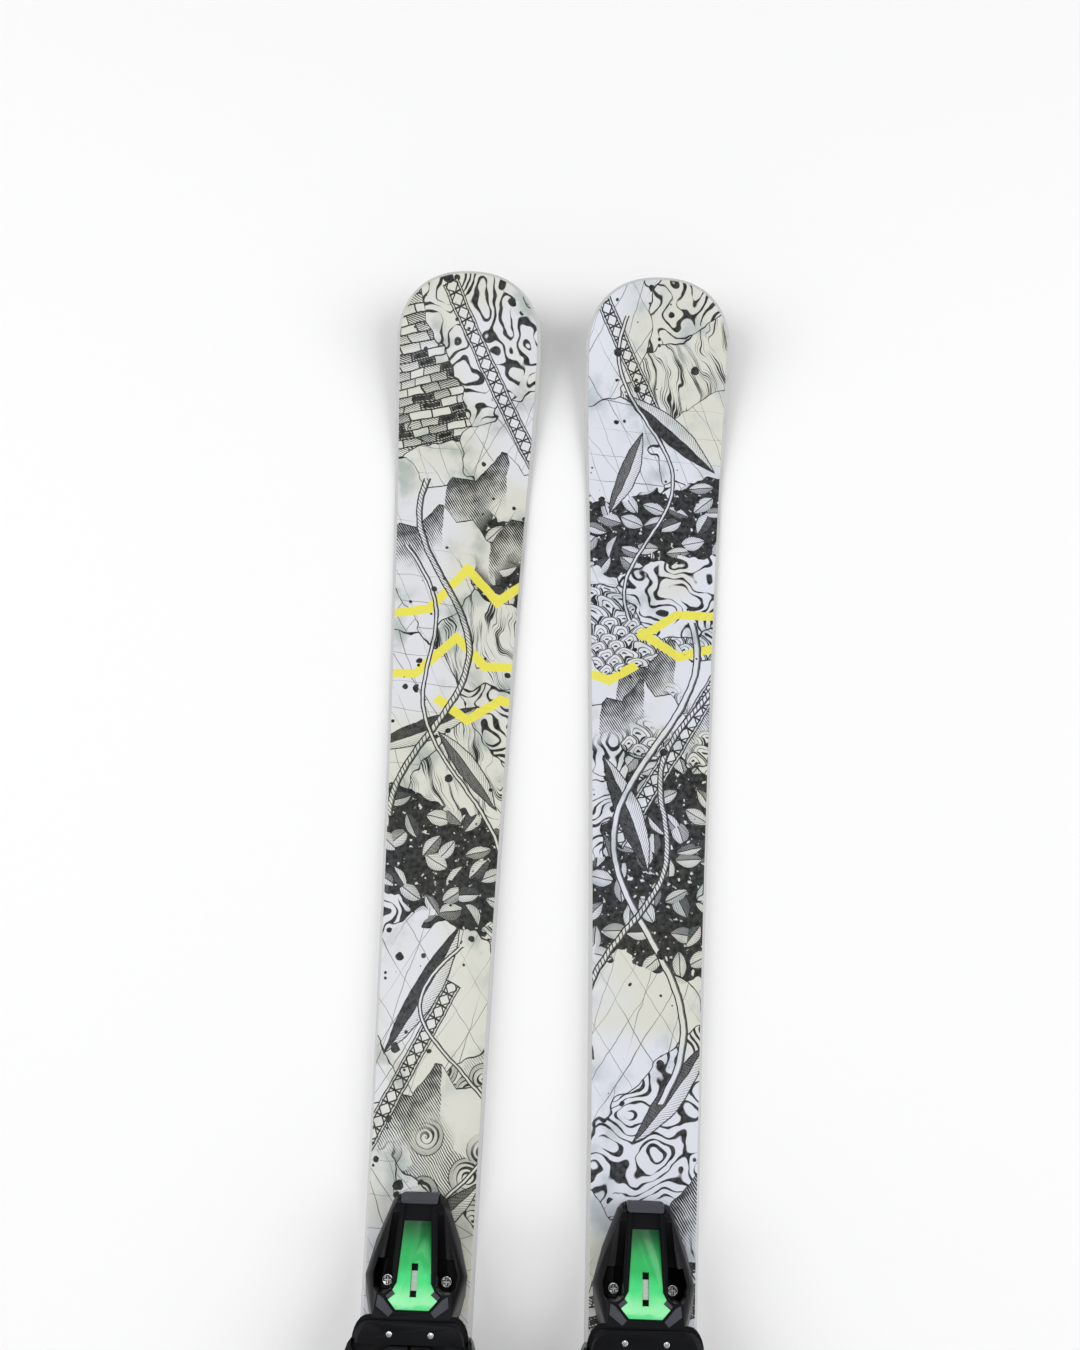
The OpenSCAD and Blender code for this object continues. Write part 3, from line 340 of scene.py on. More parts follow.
edge_material = edge_finish()
for side in SIDES:
    b = edge_bevel
    section = [(b, 0, 0), (0, 0, b), (0, 1, -b), (b, 1, 0), (edge_w - b, 1, 0), (edge_w, 1, -b),
               (edge_w, 0, b), (edge_w - b, 0, 0)]
    ring = rim_ring(section, base_height, lambda y: base_height(y) + edge_h)
    edge = skin(side + "_edge", ring + (ski_x[side], 0, 0), endless=True)
    stand_for(edge, side + "_steel_edges", edge_material)

# The core: laminated strips of poplar glued between two glass laminates, with spacers in the upturned
# ends. The other layers close it in, so its own solids stay and only take the wood's finish.
strip_w = 11.0


def wood_finish():
    """Strips of pale wood side by side, each with its own tone and with grain along the ski."""
    material, shader, place = new_finish("core_wood", Roughness=0.6)
    x, y, z = axes(place)
    strip = (x/strip_w).math("FLOOR")
    tone = strip.make("TexWhiteNoise", {"W": strip}, noise_dimensions="1D")
    grain = cloud(spot(x*2.2, y*0.03, z*2.2), 1.0, detail=4)
    feed(shader, height=grain, relief=0.05,
         Base_Color=tint(paint(214, 180, 128), paint(166, 124, 76), tone*0.45 + grain*0.5))
    return material


wood_material = wood_finish()
for side in SIDES:
    core = frame["nodes"][side + "_core"].data.materials
    core.clear()
    core.append(wood_material)

# The sidewalls: strips of pale ABS glued along the sides and round the ends of the core, and milled to
# lean in towards the topsheet.
sidewall_w, sidewall_lean, topsheet_t = 0.006, 0.0028, 0.0008
wall_bevel = 0.0003


def sidewall_finish():
    """Milled pale plastic: fine lines along it and a few grey rubs."""
    material, shader, place = new_finish("sidewall", Specular_IOR_Level=0.4)
    x, y, z = axes(place)
    mill = cloud(spot(x*1.5, y*0.03, z*4), 1.0, detail=3)
    rubs = rising(cloud(spot(x, y*0.15, z*2), 6.0, detail=3), 0.55, 0.75)
    feed(shader, height=mill, relief=0.04, Roughness=0.38 + mill*0.2,
         Base_Color=tint(paint(198, 198, 197), paint(168, 168, 168), mill*0.3 + rubs*0.5))
    return material


wall_material = sidewall_finish()
for side in SIDES:
    b = wall_bevel
    section = [(b, 0, 0), (0, 0, b), (sidewall_lean - b, 1, -b), (sidewall_lean + b, 1, 0),
               (sidewall_w - b, 1, 0), (sidewall_w, 1, -b), (sidewall_w, 0, b), (sidewall_w - b, 0, 0)]
    ring = rim_ring(section, lambda y: base_height(y) + edge_h + glue_t,
                    lambda y: base_height(y) + ski_thick(y) - topsheet_t - glue_t)
    wall = skin(side + "_sidewall", ring + (ski_x[side], 0, 0), endless=True)
    stand_for(wall, side + "_sidewalls", wall_material)

# The topsheet: a clear film printed from behind with a collage of pen drawings on pale paper tones, with
# lilac-white patches of painted sheen on the left ski, and a few flat yellow bands, then lacquered. Each ski
# has its own layout.
pen_soft = 0.24
band_half = 3.7
sheet_bevel = 0.0003
ink = paint(13, 16, 15)
band_yellow = paint(229, 221, 78)


def pen(distance, half):
    """A pen line of a half width along the places where a distance is zero."""
    return ((half - abs(distance))/pen_soft + 0.5).clamped()


def inside(depth, soft=pen_soft):
    """1 where a depth is above zero and 0 elsewhere, with a rim as soft as a pen line's."""
    return (depth/soft + 0.5).clamped()


def strokes(across, pitch, width, soft=pen_soft):
    """Parallel pen lines at a pitch, as wide as asked, and none where the width is below zero."""
    gap = abs((across/pitch).math("FRACT") - 0.5)*pitch
    return ((width*0.5 - gap)/soft + 0.5).clamped()


def turned(u, v, degrees):
    """Two coordinates turned by an angle."""
    c, s = math.cos(math.radians(degrees)), math.sin(math.radians(degrees))
    return u*c + v*s, v*c - u*s


def either(*parts):
    """The greatest of several amounts of ink."""
    total = parts[0]
    for part in parts[1:]:
        total = total.math("MAXIMUM", part)
    return total


def laid(ground, mask, figure):
    """A figure drawn over the ground, which it hides inside its mask."""
    return mask.make("Mix", {0: mask, 2: ground, 3: figure}, data_type="FLOAT")


def flat_cloud(u, v, size, detail=2.0):
    """Soft noise over the sheet."""
    return cloud(spot(u, v), size, detail, flat="2D")


def cells(u, v, size, loose=1.0):
    """Random cells of about the given size. Gives the place from each cell's centre, the centre's own
    coordinates and three random numbers of the cell."""
    inputs = {"Vector": spot(u, v), "Scale": 1/size, "Randomness": loose}
    centre = u.make("TexVoronoi", inputs, out="Position", voronoi_dimensions="2D")
    cx, cy, _ = axes(centre)
    colour = centre.beside("Color")
    dice = colour.make("SeparateColor", {0: colour})
    return u - cx, v - cy, cx, cy, (dice, dice.beside(1), dice.beside(2))


def cell_rim(u, v, size):
    """Distance from the nearest border between those cells at their loosest."""
    return u.make("TexVoronoi", {"Vector": spot(u, v), "Scale": 1/size, "Randomness": 1.0}, out="Distance",
                  voronoi_dimensions="2D", feature="DISTANCE_TO_EDGE")*size


def spun(du, dv, angle):
    """Two coordinates turned by an angle that varies."""
    c, s = angle.math("COSINE"), angle.math("SINE")
    return du*c + dv*s, dv*c - du*s


def hatching(u, v, degrees, pitch, weight):
    """Straight hatching lines at a slant, whose weight gives their width."""
    across, _ = turned(u, v, degrees)
    return strokes(across + flat_cloud(u, v, 22.0)*3, pitch, weight)


def leaf(along, across, length, half, veins, shade):
    """A pointed blade with a midrib, slanting veins and one half in shade. Gives mask and ink."""
    reach = along/(length*0.5)
    depth = (1 - reach*reach)*half - abs(across)
    rib = pen(across, 0.4)
    barbs = strokes(along - abs(across)*1.3, veins, 0.62 - depth/half*0.5)
    dim = strokes(along*0.8 + across, 1.2, inside(across)*shade - 0.2)
    return inside(depth + 0.4), either(pen(depth, 0.5), rib, barbs, dim)


def foliage(u, v, size):
    """Leaves at every slant, close together over a black ground."""
    du, dv, _, _, dice = cells(u, v, size, 0.8)
    along, across = spun(du, dv, dice[0]*(2*math.pi))
    mask, drawing = leaf(along, across, size*1.15, (dice[1]*0.14 + 0.24)*size, 2.1, dice[2]*1.5)
    return laid(inside(flat_cloud(u, v, 5.0) - 0.3, 0.06), mask, drawing)


def quill(u, v, x, y, degrees, length, half, shade):
    """A single long feather lying at a slant. Gives mask and ink."""
    along, across = turned(u - x, v - y, degrees)
    bow = along*along*(0.12/length)
    return leaf(along, across - bow, length, half, 2.6, shade)


def shards(u, v, size, tilt, stretch):
    """Crystal facets: long cells with pen outlines, each hatched at its own slant, some inked in."""
    a, b = turned(u, v, tilt)
    b = b*stretch
    da, db, _, _, dice = cells(a, b, size)
    across, _ = spun(da, db/stretch, dice[1]*math.pi)
    weight = dice[0]*2.2 - 0.9 + da/size*1.1
    return either(pen(cell_rim(a, b, size), 0.7), strokes(across, 1.5, weight), dice[2] > 0.84)


def stone_wall(u, v, width, height, tilt):
    """Staggered blocks with pen outlines, each hatched more or less, some of them dark openings."""
    a, b = turned(u + flat_cloud(u, v, 34.0)*14, v, tilt)
    row = (b/height).math("FLOOR")
    column = a/width + row*0.37
    block = spot(column.math("FLOOR"), row)
    tone = block.make("TexWhiteNoise", {"Vector": block})
    side = (0.5 - abs(column.math("FRACT") - 0.5))*width
    top = (0.5 - abs((b/height).math("FRACT") - 0.5))*height
    hatch = strokes(a*0.6 + b*0.8, 1.5, tone*1.9 - 0.75 + (b/height).math("FRACT")*0.5)
    dark = inside(side.math("MINIMUM", top) - 1.5)*(tone > 0.74)
    return either(pen(side, 0.6), pen(top, 0.6), hatch, dark)


def curls(u, v, size):
    """Rolled fronds: a spiral line that swells on one side, inside a round rim, over a hatched ground."""
    du, dv, _, _, dice = cells(u, v, size, 0.8)
    radius = (du*du + dv*dv).math("SQRT")
    angle = dv.math("ARCTAN2", du)
    pitch = size*0.13
    line = strokes(radius - angle*(pitch/(2*math.pi)), pitch, (angle + dice[0]*6.0).math("SINE")*1.0 + 1.5)
    depth = (dice[1]*0.14 + 0.36)*size - radius
    spokes = strokes(angle*14, 1.0, 0.5 - depth/size*1.6, 0.2)*inside(depth - size*0.01)
    ground = hatching(u, v, 35, 1.7, 1.5 - dice[2]*1.6)
    return laid(ground, inside(depth), either(line*inside(depth - size*0.1), pen(depth, 0.7), spokes))


def wave_fans(u, v, width):
    """Rows of overlapping fans of rings, a row nearer the tail lying over the one before it."""
    row_h = width*0.4
    wobble = flat_cloud(u, v, 34.0)*22
    u, v = u + wobble, v - wobble*0.7
    drawing = None
    for back in (2, 1, 0):
        row = (v/row_h).math("FLOOR") - back
        shift = row.math("FLOORED_MODULO", 2.0)*0.5
        du = ((u/width + shift).math("FRACT") - 0.5)*width
        dv = v - row*row_h
        radius = (du*du + dv*dv).math("SQRT")
        rings = strokes(radius, width*0.16, radius/width*2.2 - 0.05)
        fan = either(rings, pen(radius - width*0.5, 0.9), radius < width*0.1)
        mask = inside(width*0.5 + 0.4 - radius)
        drawing = fan*mask if drawing is None else laid(drawing, mask, fan)
    return drawing


def flowing(u, v, tilt, bend, weight):
    """Long flowing strokes, as of grass or fur, that swell, thin out and break."""
    a, b = turned(u, v, tilt)
    a = a + flat_cloud(a, b*0.6, bend)*bend*1.1
    broken = flat_cloud(a*0.7, b*0.05, 3.0, 1.0)*3.0 - 1.15
    locks = flat_cloud(a*0.14, b*0.03, 1.0, 1.0)*4.0 - 1.9
    return strokes(a, 1.6, broken + locks + weight)


def burl(u, v, size, count):
    """Wood grain round knots: lines of equal height over soft noise, heavier in some places."""
    height = flat_cloud(u, v, size, 1.5)*count
    weight = flat_cloud(u + 90, v, size*0.5)*1.3 - 0.38
    return strokes(height, 1.0, weight, 0.07)


def sketch(u, v, tilt):
    """Loose ruled guide lines, thin and broken, in three directions."""
    faint = None
    for slant, pitch in ((tilt, 17.0), (tilt + 64, 23.0), (tilt + 15, 29.0)):
        a, b = turned(u, v, slant)
        lines = strokes(a + flat_cloud(a*0.02, b*0.02, 1.0)*6, pitch, flat_cloud(a, b*0.1, 9.0)*1.7 - 0.5)
        faint = lines if faint is None else either(faint, lines)
    return faint*0.75


def ridge(u, v, foot, height, spread, phase):
    """A mountain range: a zigzag crest over a body with black and hatched slopes. Gives mask and ink."""
    x = u/spread + phase + flat_cloud(u, v, 20.0)*0.16
    crest = foot + height*(x.math("PINGPONG", 1.0)*0.6 + (x*2.6 + 0.7).math("PINGPONG", 1.0)*0.3)
    depth = crest - v
    shade = ((x*0.5).math("FRACT") < 0.5)*1.7 - 0.55
    weight = shade*(1.25 - depth/(height*0.9)) + flat_cloud(u, v, 9.0)*1.2 - 0.5
    body = either(pen(depth, 0.7), strokes(u*0.82 + v*0.57, 1.7, weight))
    return inside(depth + 0.3)*(1 - rising(depth, height*0.6, height*1.1)), body


def truss(u, v, x, y, degrees, reach, half):
    """A lattice beam: two double rails with crossed braces between them. Gives mask and ink."""
    b, a = turned(u - x, v - y, degrees)
    rail = pen(abs(a) - half, 1.5) - pen(abs(a) - half, 0.5)*0.85
    zig = ((b/(half*2)).math("PINGPONG", 1.0) - 0.5)*half*2
    brace = either(pen(a - zig, 0.75), pen(a + zig, 0.75))*inside(half - abs(a))
    joint = strokes(b, half*2, 1.5)*inside(half - abs(a))
    mask = inside(half + 1.4 - abs(a))*inside(reach - abs(b))
    return mask, either(rail.clamped(), brace, joint, pen(abs(b) - reach, 1.2))


def rope(u, v, start, slant, swing, wave, phase, half, twist, low, high):
    """A cord that winds along the ski: a sine path with pen outlines, one side in shade, and slanting
    strand lines on a twisted one. Gives mask and ink."""
    turn = v*(2*math.pi/wave) + phase
    centre = start + v*slant + turn.math("SINE")*swing
    slope = turn.math("COSINE")*(swing*2*math.pi/wave) + slant
    d = (u - centre)/(slope*slope + 1).math("SQRT")
    drawing = either(pen(abs(d) - half, 0.55), inside(d - half*0.45)*0.85)
    if twist:
        drawing = either(drawing, strokes(v + d*1.3, twist, 0.9))
    return inside(half + 0.5 - abs(d))*inside(v - low)*inside(high - v), drawing


def splatter(u, v, size, most):
    """Ink drops of many sizes, in loose groups."""
    du, dv, _, _, dice = cells(u, v, size)
    group = rising(flat_cloud(u, v, 60.0), 0.52, 0.66)
    drop = dice[0].math("POWER", 7.0)*most*group
    ragged = (du*du + dv*dv).math("SQRT")*(0.8 + flat_cloud(u, v, 2.4)*0.4)
    return inside(drop*size - ragged)*(drop > 0.03)


def ribbon(u, v, half, points):
    """A flat band along straight runs between points, with mitred corners."""
    points = np.array(points, float)
    runs = np.diff(points, axis=0)
    lengths = np.hypot(runs[:, 0], runs[:, 1])
    ways = runs/lengths[:, None]
    bends = np.arccos(np.clip((ways[1:]*ways[:-1]).sum(axis=1), -1, 1))
    past = np.concatenate([[0], half*np.tan(bends/2), [0]])
    total = None
    for (x, y), (c, s), length, before, after in zip(points, ways, lengths, past, past[1:]):
        along = u*float(c) + v*float(s) - float(x*c + y*s)
        across = v*float(c) - u*float(s) - float(y*c - x*s)
        run = inside(half - abs(across))*inside(along + float(before))*inside(float(length + after) - along)
        total = run if total is None else either(total, run)
    return total


def stencil(draw):
    """A node group that draws a figure from the sheet's two coordinates, with an output for each amount
    that the figure gives."""
    tree = bpy.data.node_groups.new("figure", "ShaderNodeTree")
    for axis in "uv":
        tree.interface.new_socket(axis, in_out="INPUT", socket_type="NodeSocketFloat")
    source, sink = tree.nodes.new("NodeGroupInput"), tree.nodes.new("NodeGroupOutput")
    amounts = draw(Wire(source.outputs[0]), Wire(source.outputs[1]))
    for k, amount in enumerate(amounts if isinstance(amounts, tuple) else (amounts,)):
        tree.interface.new_socket(f"amount {k}", in_out="OUTPUT", socket_type="NodeSocketFloat")
        tree.links.new(amount.socket, sink.inputs[k])
    return tree


def stamped(u, v, tree):
    """The first output of a stencil at two coordinates."""
    return u.make("Group", {0: u, 1: v}, node_tree=tree)


# Share of the patches that each drawing takes
patch_motifs = (
    (0.10, stencil(lambda u, v: foliage(u, v, 19.0))),
    (0.17, stencil(lambda u, v: sketch(u, v, 22))),
    (0.10, stencil(lambda u, v: shards(u, v, 17.0, 34, 0.6))),
    (0.09, stencil(lambda u, v: burl(u, v, 40.0, 10))),
    (0.16, stencil(lambda u, v: sketch(u, v, -31))),
    (0.09, stencil(lambda u, v: curls(u, v, 29.0))),
    (0.10, stencil(lambda u, v: flowing(u, v, 18, 34.0, -0.25))),
    (0.08, stencil(lambda u, v: sketch(u, v, 48))),
    (0.06, stencil(lambda u, v: stone_wall(u, v, 15.0, 7.0, 14))),
    (0.05, stencil(lambda u, v: wave_fans(u, v, 18.0))),
)
blots = stencil(lambda u, v: either(splatter(u, v, 9.0, 0.5), splatter(u + 40, v, 22.0, 0.3)))


def topsheet_finish(side, seed, paper, second_tone_and_sheen, wash, patch, thickets, figures, bands, ropes):
    """Lacquered print: paper tones with patches of a second colour, which on the left ski is painted sheen,
    and ink wash, then patches of pen drawings with figures laid over them, yellow bands, and a few ropes and
    blots on top."""
    material, shader, place = new_finish(side + "_topsheet", Coat_Weight=0.08, Coat_Roughness=0.16,
                                         Specular_IOR_Level=0.2)
    x, y, _ = axes(place)
    u = x - ski_x[side]*1000 + (flat_cloud(x, y, 14.0) - 0.5)*1.8
    v = y + (flat_cloud(x + 70, y, 14.0) - 0.5)*1.8
    su, sv = u + seed, v + seed
    size, tilt, stretch = patch
    a, b = turned(su + flat_cloud(su, sv, 30.0)*26, sv + flat_cloud(su + 99, sv, 30.0)*26, tilt)
    b = b*stretch
    dice = cells(a, b, size)[-1][0]
    rim = cell_rim(a, b, size)

    drawing, passed = None, 0.0
    for share, tree in patch_motifs:
        motif = stamped(su, sv, tree)
        drawing = motif if drawing is None else laid(drawing, dice > passed, motif)
        passed += share
    drawing = either(drawing, pen(rim, 0.5))
    edge = flat_cloud(su, sv, 24.0)*44 - 22
    for low, high, lean in thickets:
        mask = inside(v + edge + u*lean - low)*inside(high - v - edge*0.7 - u*lean)
        drawing = laid(drawing, mask, stamped(su + 37, sv, patch_motifs[0][1]))
    for draw, row in figures:
        mask = stamped(u, v, stencil(lambda u, v: draw(u, v, *row)))
        drawing = laid(drawing, mask, mask.beside(1))

    band = stamped(u, v, stencil(lambda u, v: either(*(ribbon(u, v, band_half, row) for row in bands))))
    drawing = drawing*(1 - band*0.95)
    for row in ropes:
        mask = stamped(u, v, stencil(lambda u, v: rope(u, v, *row)))
        drawing = laid(drawing, mask, mask.beside(1))
        band = band*(1 - mask)
    drawing = either(drawing, stamped(su, sv, blots))

    # The ground mixes the paper with a second colour over broad clouds: on the left ski a lilac-white painted
    # sheen that stands for reflections in the lacquer, on the right a cream tone over the lilac-white.
    ground = tint(paper, second_tone_and_sheen, rising(flat_cloud(su, sv, 130.0, 3.0), 0.45, 0.65))
    shading = rising(flat_cloud(su + 300, sv, 26.0, 4.0), 0.42, 0.7)*(1 - rising(rim, 0.0, 22.0))
    ground = tint(ground, wash, shading*0.8)
    ground = tint(ground, band_yellow, band*0.96)
    uneven = flat_cloud(su, sv, 4.0, 3.0)*0.16 + 0.88
    wear = flat_cloud(u*2, v*0.2, 8.0, 4.0)
    feed(shader, height=wear, relief=0.02, Roughness=0.3 + wear*0.12,
         Base_Color=tint(ground, ink, (drawing*uneven).clamped()))
    return material


# Places and lengths are in millimetres from the ski's middle line and from the middle of its length
sheet_materials = {
    "left": topsheet_finish(
        # The left ski's second colour, lilac-white, is painted sheen.
        "left", 0.0, paint(212, 212, 201), paint(217, 218, 223), paint(160, 170, 162), (92.0, 28, 0.8),
        thickets=((352, 440, 0.3), (-560, -470, 0.2)),
        figures=((ridge, (704, 50, 52, 0.2)), (ridge, (664, 40, 40, 1.3)), (ridge, (205, 46, 44, 0.7)),
                 (ridge, (-520, 58, 50, 0.1)), (truss, (26, 800, 118, 92, 5.5)),
                 (truss, (-18, 236, 64, 74, 5.0)), (quill, (-20, 500, 24, 96, 9, 1.4)),
                 (quill, (18, 470, 128, 80, 8, 1.2)), (quill, (-6, 296, 62, 110, 10, 1.5)),
                 (quill, (10, 130, 40, 90, 9, 1.2))),
        bands=(((-70, 596), (-22, 604), (8, 640), (34, 612), (70, 640)),
               ((-70, 548), (-30, 548), (2, 580), (26, 556), (70, 556)),
               ((-12, 528), (14, 510), (40, 528), (70, 520))),
        ropes=((-30, 0.03, 26, 260, 0.5, 2.4, 3.4, 430, 720), (150, -0.3, 16, 210, 2.0, 1.4, 0, 380, 660),
               (20, 0.0, 30, 180, 1.0, 1.3, 0, 60, 330))),
    "right": topsheet_finish(
        "right", 520.0, paint(216, 219, 228), paint(212, 212, 201), paint(167, 177, 181), (88.0, -24, 0.75),
        thickets=((650, 716, -0.25), (318, 392, 0.35), (-700, -620, 0.3)),
        figures=((ridge, (545, 48, 46, 0.5)), (ridge, (520, 36, 34, 1.1)), (ridge, (130, 50, 52, 0.1)),
                 (ridge, (-420, 58, 50, 0.4)), (truss, (16, 486, 60, 84, 5.5)),
                 (truss, (-26, 830, 118, 62, 5.0)), (quill, (14, 768, 140, 100, 10, 1.5)),
                 (quill, (-22, 730, 70, 76, 8, 1.2)), (quill, (-16, 440, 112, 100, 10, 1.4)),
                 (quill, (20, 226, 54, 90, 9, 1.3))),
        bands=(((70, 606), (20, 606), (-6, 588), (22, 570), (70, 584)),
               ((-70, 560), (-34, 548), (-12, 562))),
        ropes=((-10, 0.03, 30, 300, 2.2, 2.6, 0, 220, 600), (-120, 0.3, 14, 180, 0.4, 2.2, 3.2, 250, 560),
               (30, -0.05, 22, 210, 5.0, 1.4, 0, 600, 860))),
}
for side in SIDES:
    loop = sheet_loop(sidewall_lean, sheet_bevel)
    grid = carried(loop, lambda y: base_height(y) + ski_thick(y) - topsheet_t,
                   lambda y: base_height(y) + ski_thick(y))
    sheet = skin(side + "_printed_top", grid + (ski_x[side], 0, 0))
    stand_for(sheet, side + "_topsheet", sheet_materials[side])

# The toe piece's housing, wings and base plate: glass-filled black nylon, moulded in single pieces with
# soft radii on their outer edges, and screwed to the ski. The nose cap and the trim plates are grey and
# clipped into the housing.
grain_size = 0.5
mould_steps = 3
flat_angle, turn_angle, fold_angle = math.radians(0.4), math.radians(32), 2.9
sliver_area, speck_area = 1e-10, 1e-12
room_share, along_limit = 0.35, 0.8
# Within how many radii of a fault the edges turn crisp, in one trial after another
fault_reaches = (2, 2, 2, 3, 3, 4, 4, 6, 6, 8)


def folded_spots(shell, radius):
    """Places where a trial of the radius folds a face back or drives it through another."""
    trial = shell.copy()
    marked = trial.edges.layers.float["bevel_weight_edge"]
    bmesh.ops.bevel(trial, geom=[edge for edge in trial.edges if edge[marked]], offset=radius,
                    segments=mould_steps, profile=0.5, affect="EDGES", clamp_overlap=False, loop_slide=True)
    bmesh.ops.triangulate(trial, faces=trial.faces)
    trial.faces.ensure_lookup_table()
    area = [face.calc_area() for face in trial.faces]
    spots = [(edge.verts[0].co + edge.verts[1].co)/2 for edge in trial.edges
             if edge.calc_face_angle(0) > fold_angle
             and min(area[face.index] for face in edge.link_faces) > sliver_area]
    tree = BVHTree.FromBMesh(trial)
    for first, second in tree.overlap(tree):
        if min(area[first], area[second]) > speck_area:
            faces = [trial.faces[first], trial.faces[second]]
            if not set(faces[0].verts) & set(faces[1].verts):
                spots.append(faces[0].calc_center_median())
    trial.free()
    return spots


def room_beside(edge):
    """The least width of the faces beside an edge and length of the edges across its ends. It is none
    where another edge leaves an end at a narrow angle."""
    start, end = (vert.co for vert in edge.verts)
    way = (end - start).normalized()
    room = min(max((vert.co - start).cross(way).length for vert in face.verts) for face in edge.link_faces)
    for vert, inward in zip(edge.verts, (way, -way)):
        for other in vert.link_edges:
            run = other.other_vert(vert).co - vert.co
            lean = run.normalized().dot(inward)
            if abs(lean) < along_limit:
                room = min(room, run.length)
            elif lean > 0 and other != edge:
                return 0
    return room


def softened(shell, radius, inner):
    """Marks each outer edge, and inner corner where asked, that turns and has room for the radius. The
    others stay crisp, and so do those where a trial of the radius goes wrong."""
    marked = shell.edges.layers.float.new("bevel_weight_edge")
    for edge in shell.edges:
        if len(edge.link_faces) == 2 and edge.calc_face_angle() >= turn_angle:
            fits = (inner or edge.is_convex) and room_beside(edge)*room_share > radius
            edge[marked] = float(fits)
            edge.smooth = fits
    for reach in fault_reaches:
        spots = folded_spots(shell, radius)
        if not spots:
            break
        for edge in [edge for edge in shell.edges if edge[marked]]:
            start, end = (vert.co for vert in edge.verts)
            for place in spots:
                share = min(max(intersect_point_line(place, start, end)[1], 0), 1)
                if (start.lerp(end, share) - place).length < radius*reach:
                    edge[marked] = 0
                    edge.smooth = False
                    break


def moulded(node, radius, material, inner=False):
    """The node's own shape with its flat faces made whole and a mould radius along its edges."""
    mesh = frame["nodes"][node].data.copy()
    shell = bmesh.new()
    shell.from_mesh(mesh)
    bmesh.ops.remove_doubles(shell, verts=shell.verts, dist=2*weld_gap)
    bmesh.ops.dissolve_limit(shell, angle_limit=flat_angle, verts=shell.verts, edges=shell.edges)
    softened(shell, radius, inner)
    shell.to_mesh(mesh)
    shell.free()
    mesh.shade_smooth()
    piece = bpy.data.objects.new(node + "_piece", mesh)
    bpy.context.scene.collection.objects.link(piece)
    bevel = piece.modifiers.new("mould radius", "BEVEL")
    bevel.width = radius
    bevel.segments = mould_steps
    bevel.limit_method = "WEIGHT"
    bevel.use_clamp_overlap = False
    bevel.harden_normals = True
    stand_for(piece, node, material)


def plastic_finish(name, dark, light, gloss, shine=0.11):
    """Moulded plastic: a fine leathery grain, cloudy gloss and a few hairline scratches."""
    material, shader, place = new_finish(name, Specular_IOR_Level=shine)
    x, y, z = axes(place)
    leather = place.make("TexVoronoi", {"Vector": place, "Scale": 1/grain_size}, feature="SMOOTH_F1")
    smear = cloud(place, 18.0, detail=3)
    scratch = rising(cloud(spot(x*3, y*0.25, z*3), 1.2, detail=3), 0.66, 0.72)
    feed(shader, height=leather - scratch*0.5, relief=0.02, Roughness=gloss + smear*0.16 + scratch*0.1,
         Base_Color=tint(dark, light, smear*0.5 + leather*0.2 + scratch*0.3))
    return material


black_material = plastic_finish("binding_black", paint(9, 9, 11), paint(24, 25, 28), 0.24)
grey_material = plastic_finish("binding_grey", paint(60, 61, 67), paint(84, 85, 93), 0.34)
toe_rows = (
    ("toe_base_plate", 0.0006, "binding_black", black_material),
    ("toe_housing", 0.0011, "binding_black", black_material),
    ("toe_nose_cap", 0.0016, "binding_grey", grey_material),
    ("toe_trims", 0.0003, "binding_grey", grey_material),
    ("toe_wing_left", 0.002, "binding_black", black_material),
    ("toe_wing_right", 0.002, "binding_black", black_material),
)
for side in SIDES:
    for piece_name, radius, slot, material in toe_rows:
        moulded(side + "_" + piece_name, radius, material)

# The toe window: tinted green polycarbonate over the release scale, clipped into the sloping top. The
# white indicator rides in its slot on the release screw and has moulded ridges across it.
window_radius = 0.0004
ridge_count, ridge_depth, ridge_steps = 6, 0.00022, 12
flush = 1e-5


def window_finish():
    """Green plastic that pales from the nose to the boot, with faint clouds, under a soft gloss."""
    material, shader, place = new_finish("window_green", Coat_Weight=0.25, Coat_Roughness=0.12,
                                         Roughness=0.32, Specular_IOR_Level=0.3)
    back, front = (corner.y*1000 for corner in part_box("left_toe_window"))
    _, y, _ = axes(place)
    along = (front - y)/(front - back)
    along = along + (cloud(place, 7.0, detail=3) - 0.5)*0.1
    colour = tint(paint(34, 84, 50), paint(44, 178, 92), rising(along, 0.0, 0.42))
    colour = tint(colour, paint(66, 214, 122), rising(along, 0.45, 0.66))
    colour = tint(colour, paint(148, 238, 170), rising(along, 0.66, 0.92))
    colour = tint(colour, paint(92, 222, 136), rising(along, 0.92, 0.98))
    feed(shader, Base_Color=colour)
    return material


def ridged(node):
    """A bar that fills the node's box in its slope: its section is a rectangle, and its top follows
    rounded ridges along the slope."""
    corners = np.array([vert.co for vert in frame["nodes"][node].data.vertices])
    low, high = corners.min(axis=0), corners.max(axis=0)
    front = corners[corners[:, 1] > high[1] - flush]
    top_front = front[front[:, 2].argmax()]
    back = corners[corners[:, 2] > high[2] - flush]
    top_back = back[back[:, 1].argmin()]
    run = top_back - top_front
    run[0] = 0
    length = np.linalg.norm(run)
    run = run/length
    up = np.array([0, run[2], -run[1]])
    thick = np.ptp((corners - top_front) @ up)
    steps = np.linspace(0, 1, ridge_steps*ridge_count + 1)
    drop = ridge_depth*(0.5 - 0.5*np.cos(steps*ridge_count*2*math.pi))
    spine = top_front*(0, 1, 1) + steps[:, None]*length*run
    middle, half = (low[0] + high[0])/2, (high[0] - low[0])/2
    section = []
    for across, depth in ((-1, 0), (-1, 1), (1, 1), (1, 0)):
        fall = np.where(depth, thick, drop)[:, None]*up
        section.append(spine - fall + (middle + across*half, 0, 0))
    grid = np.stack(section, axis=1)
    ends = [np.repeat(grid[k].mean(axis=0)[None, None], 4, axis=1) for k in (0, -1)]
    return np.concatenate([ends[0], grid, ends[1]])


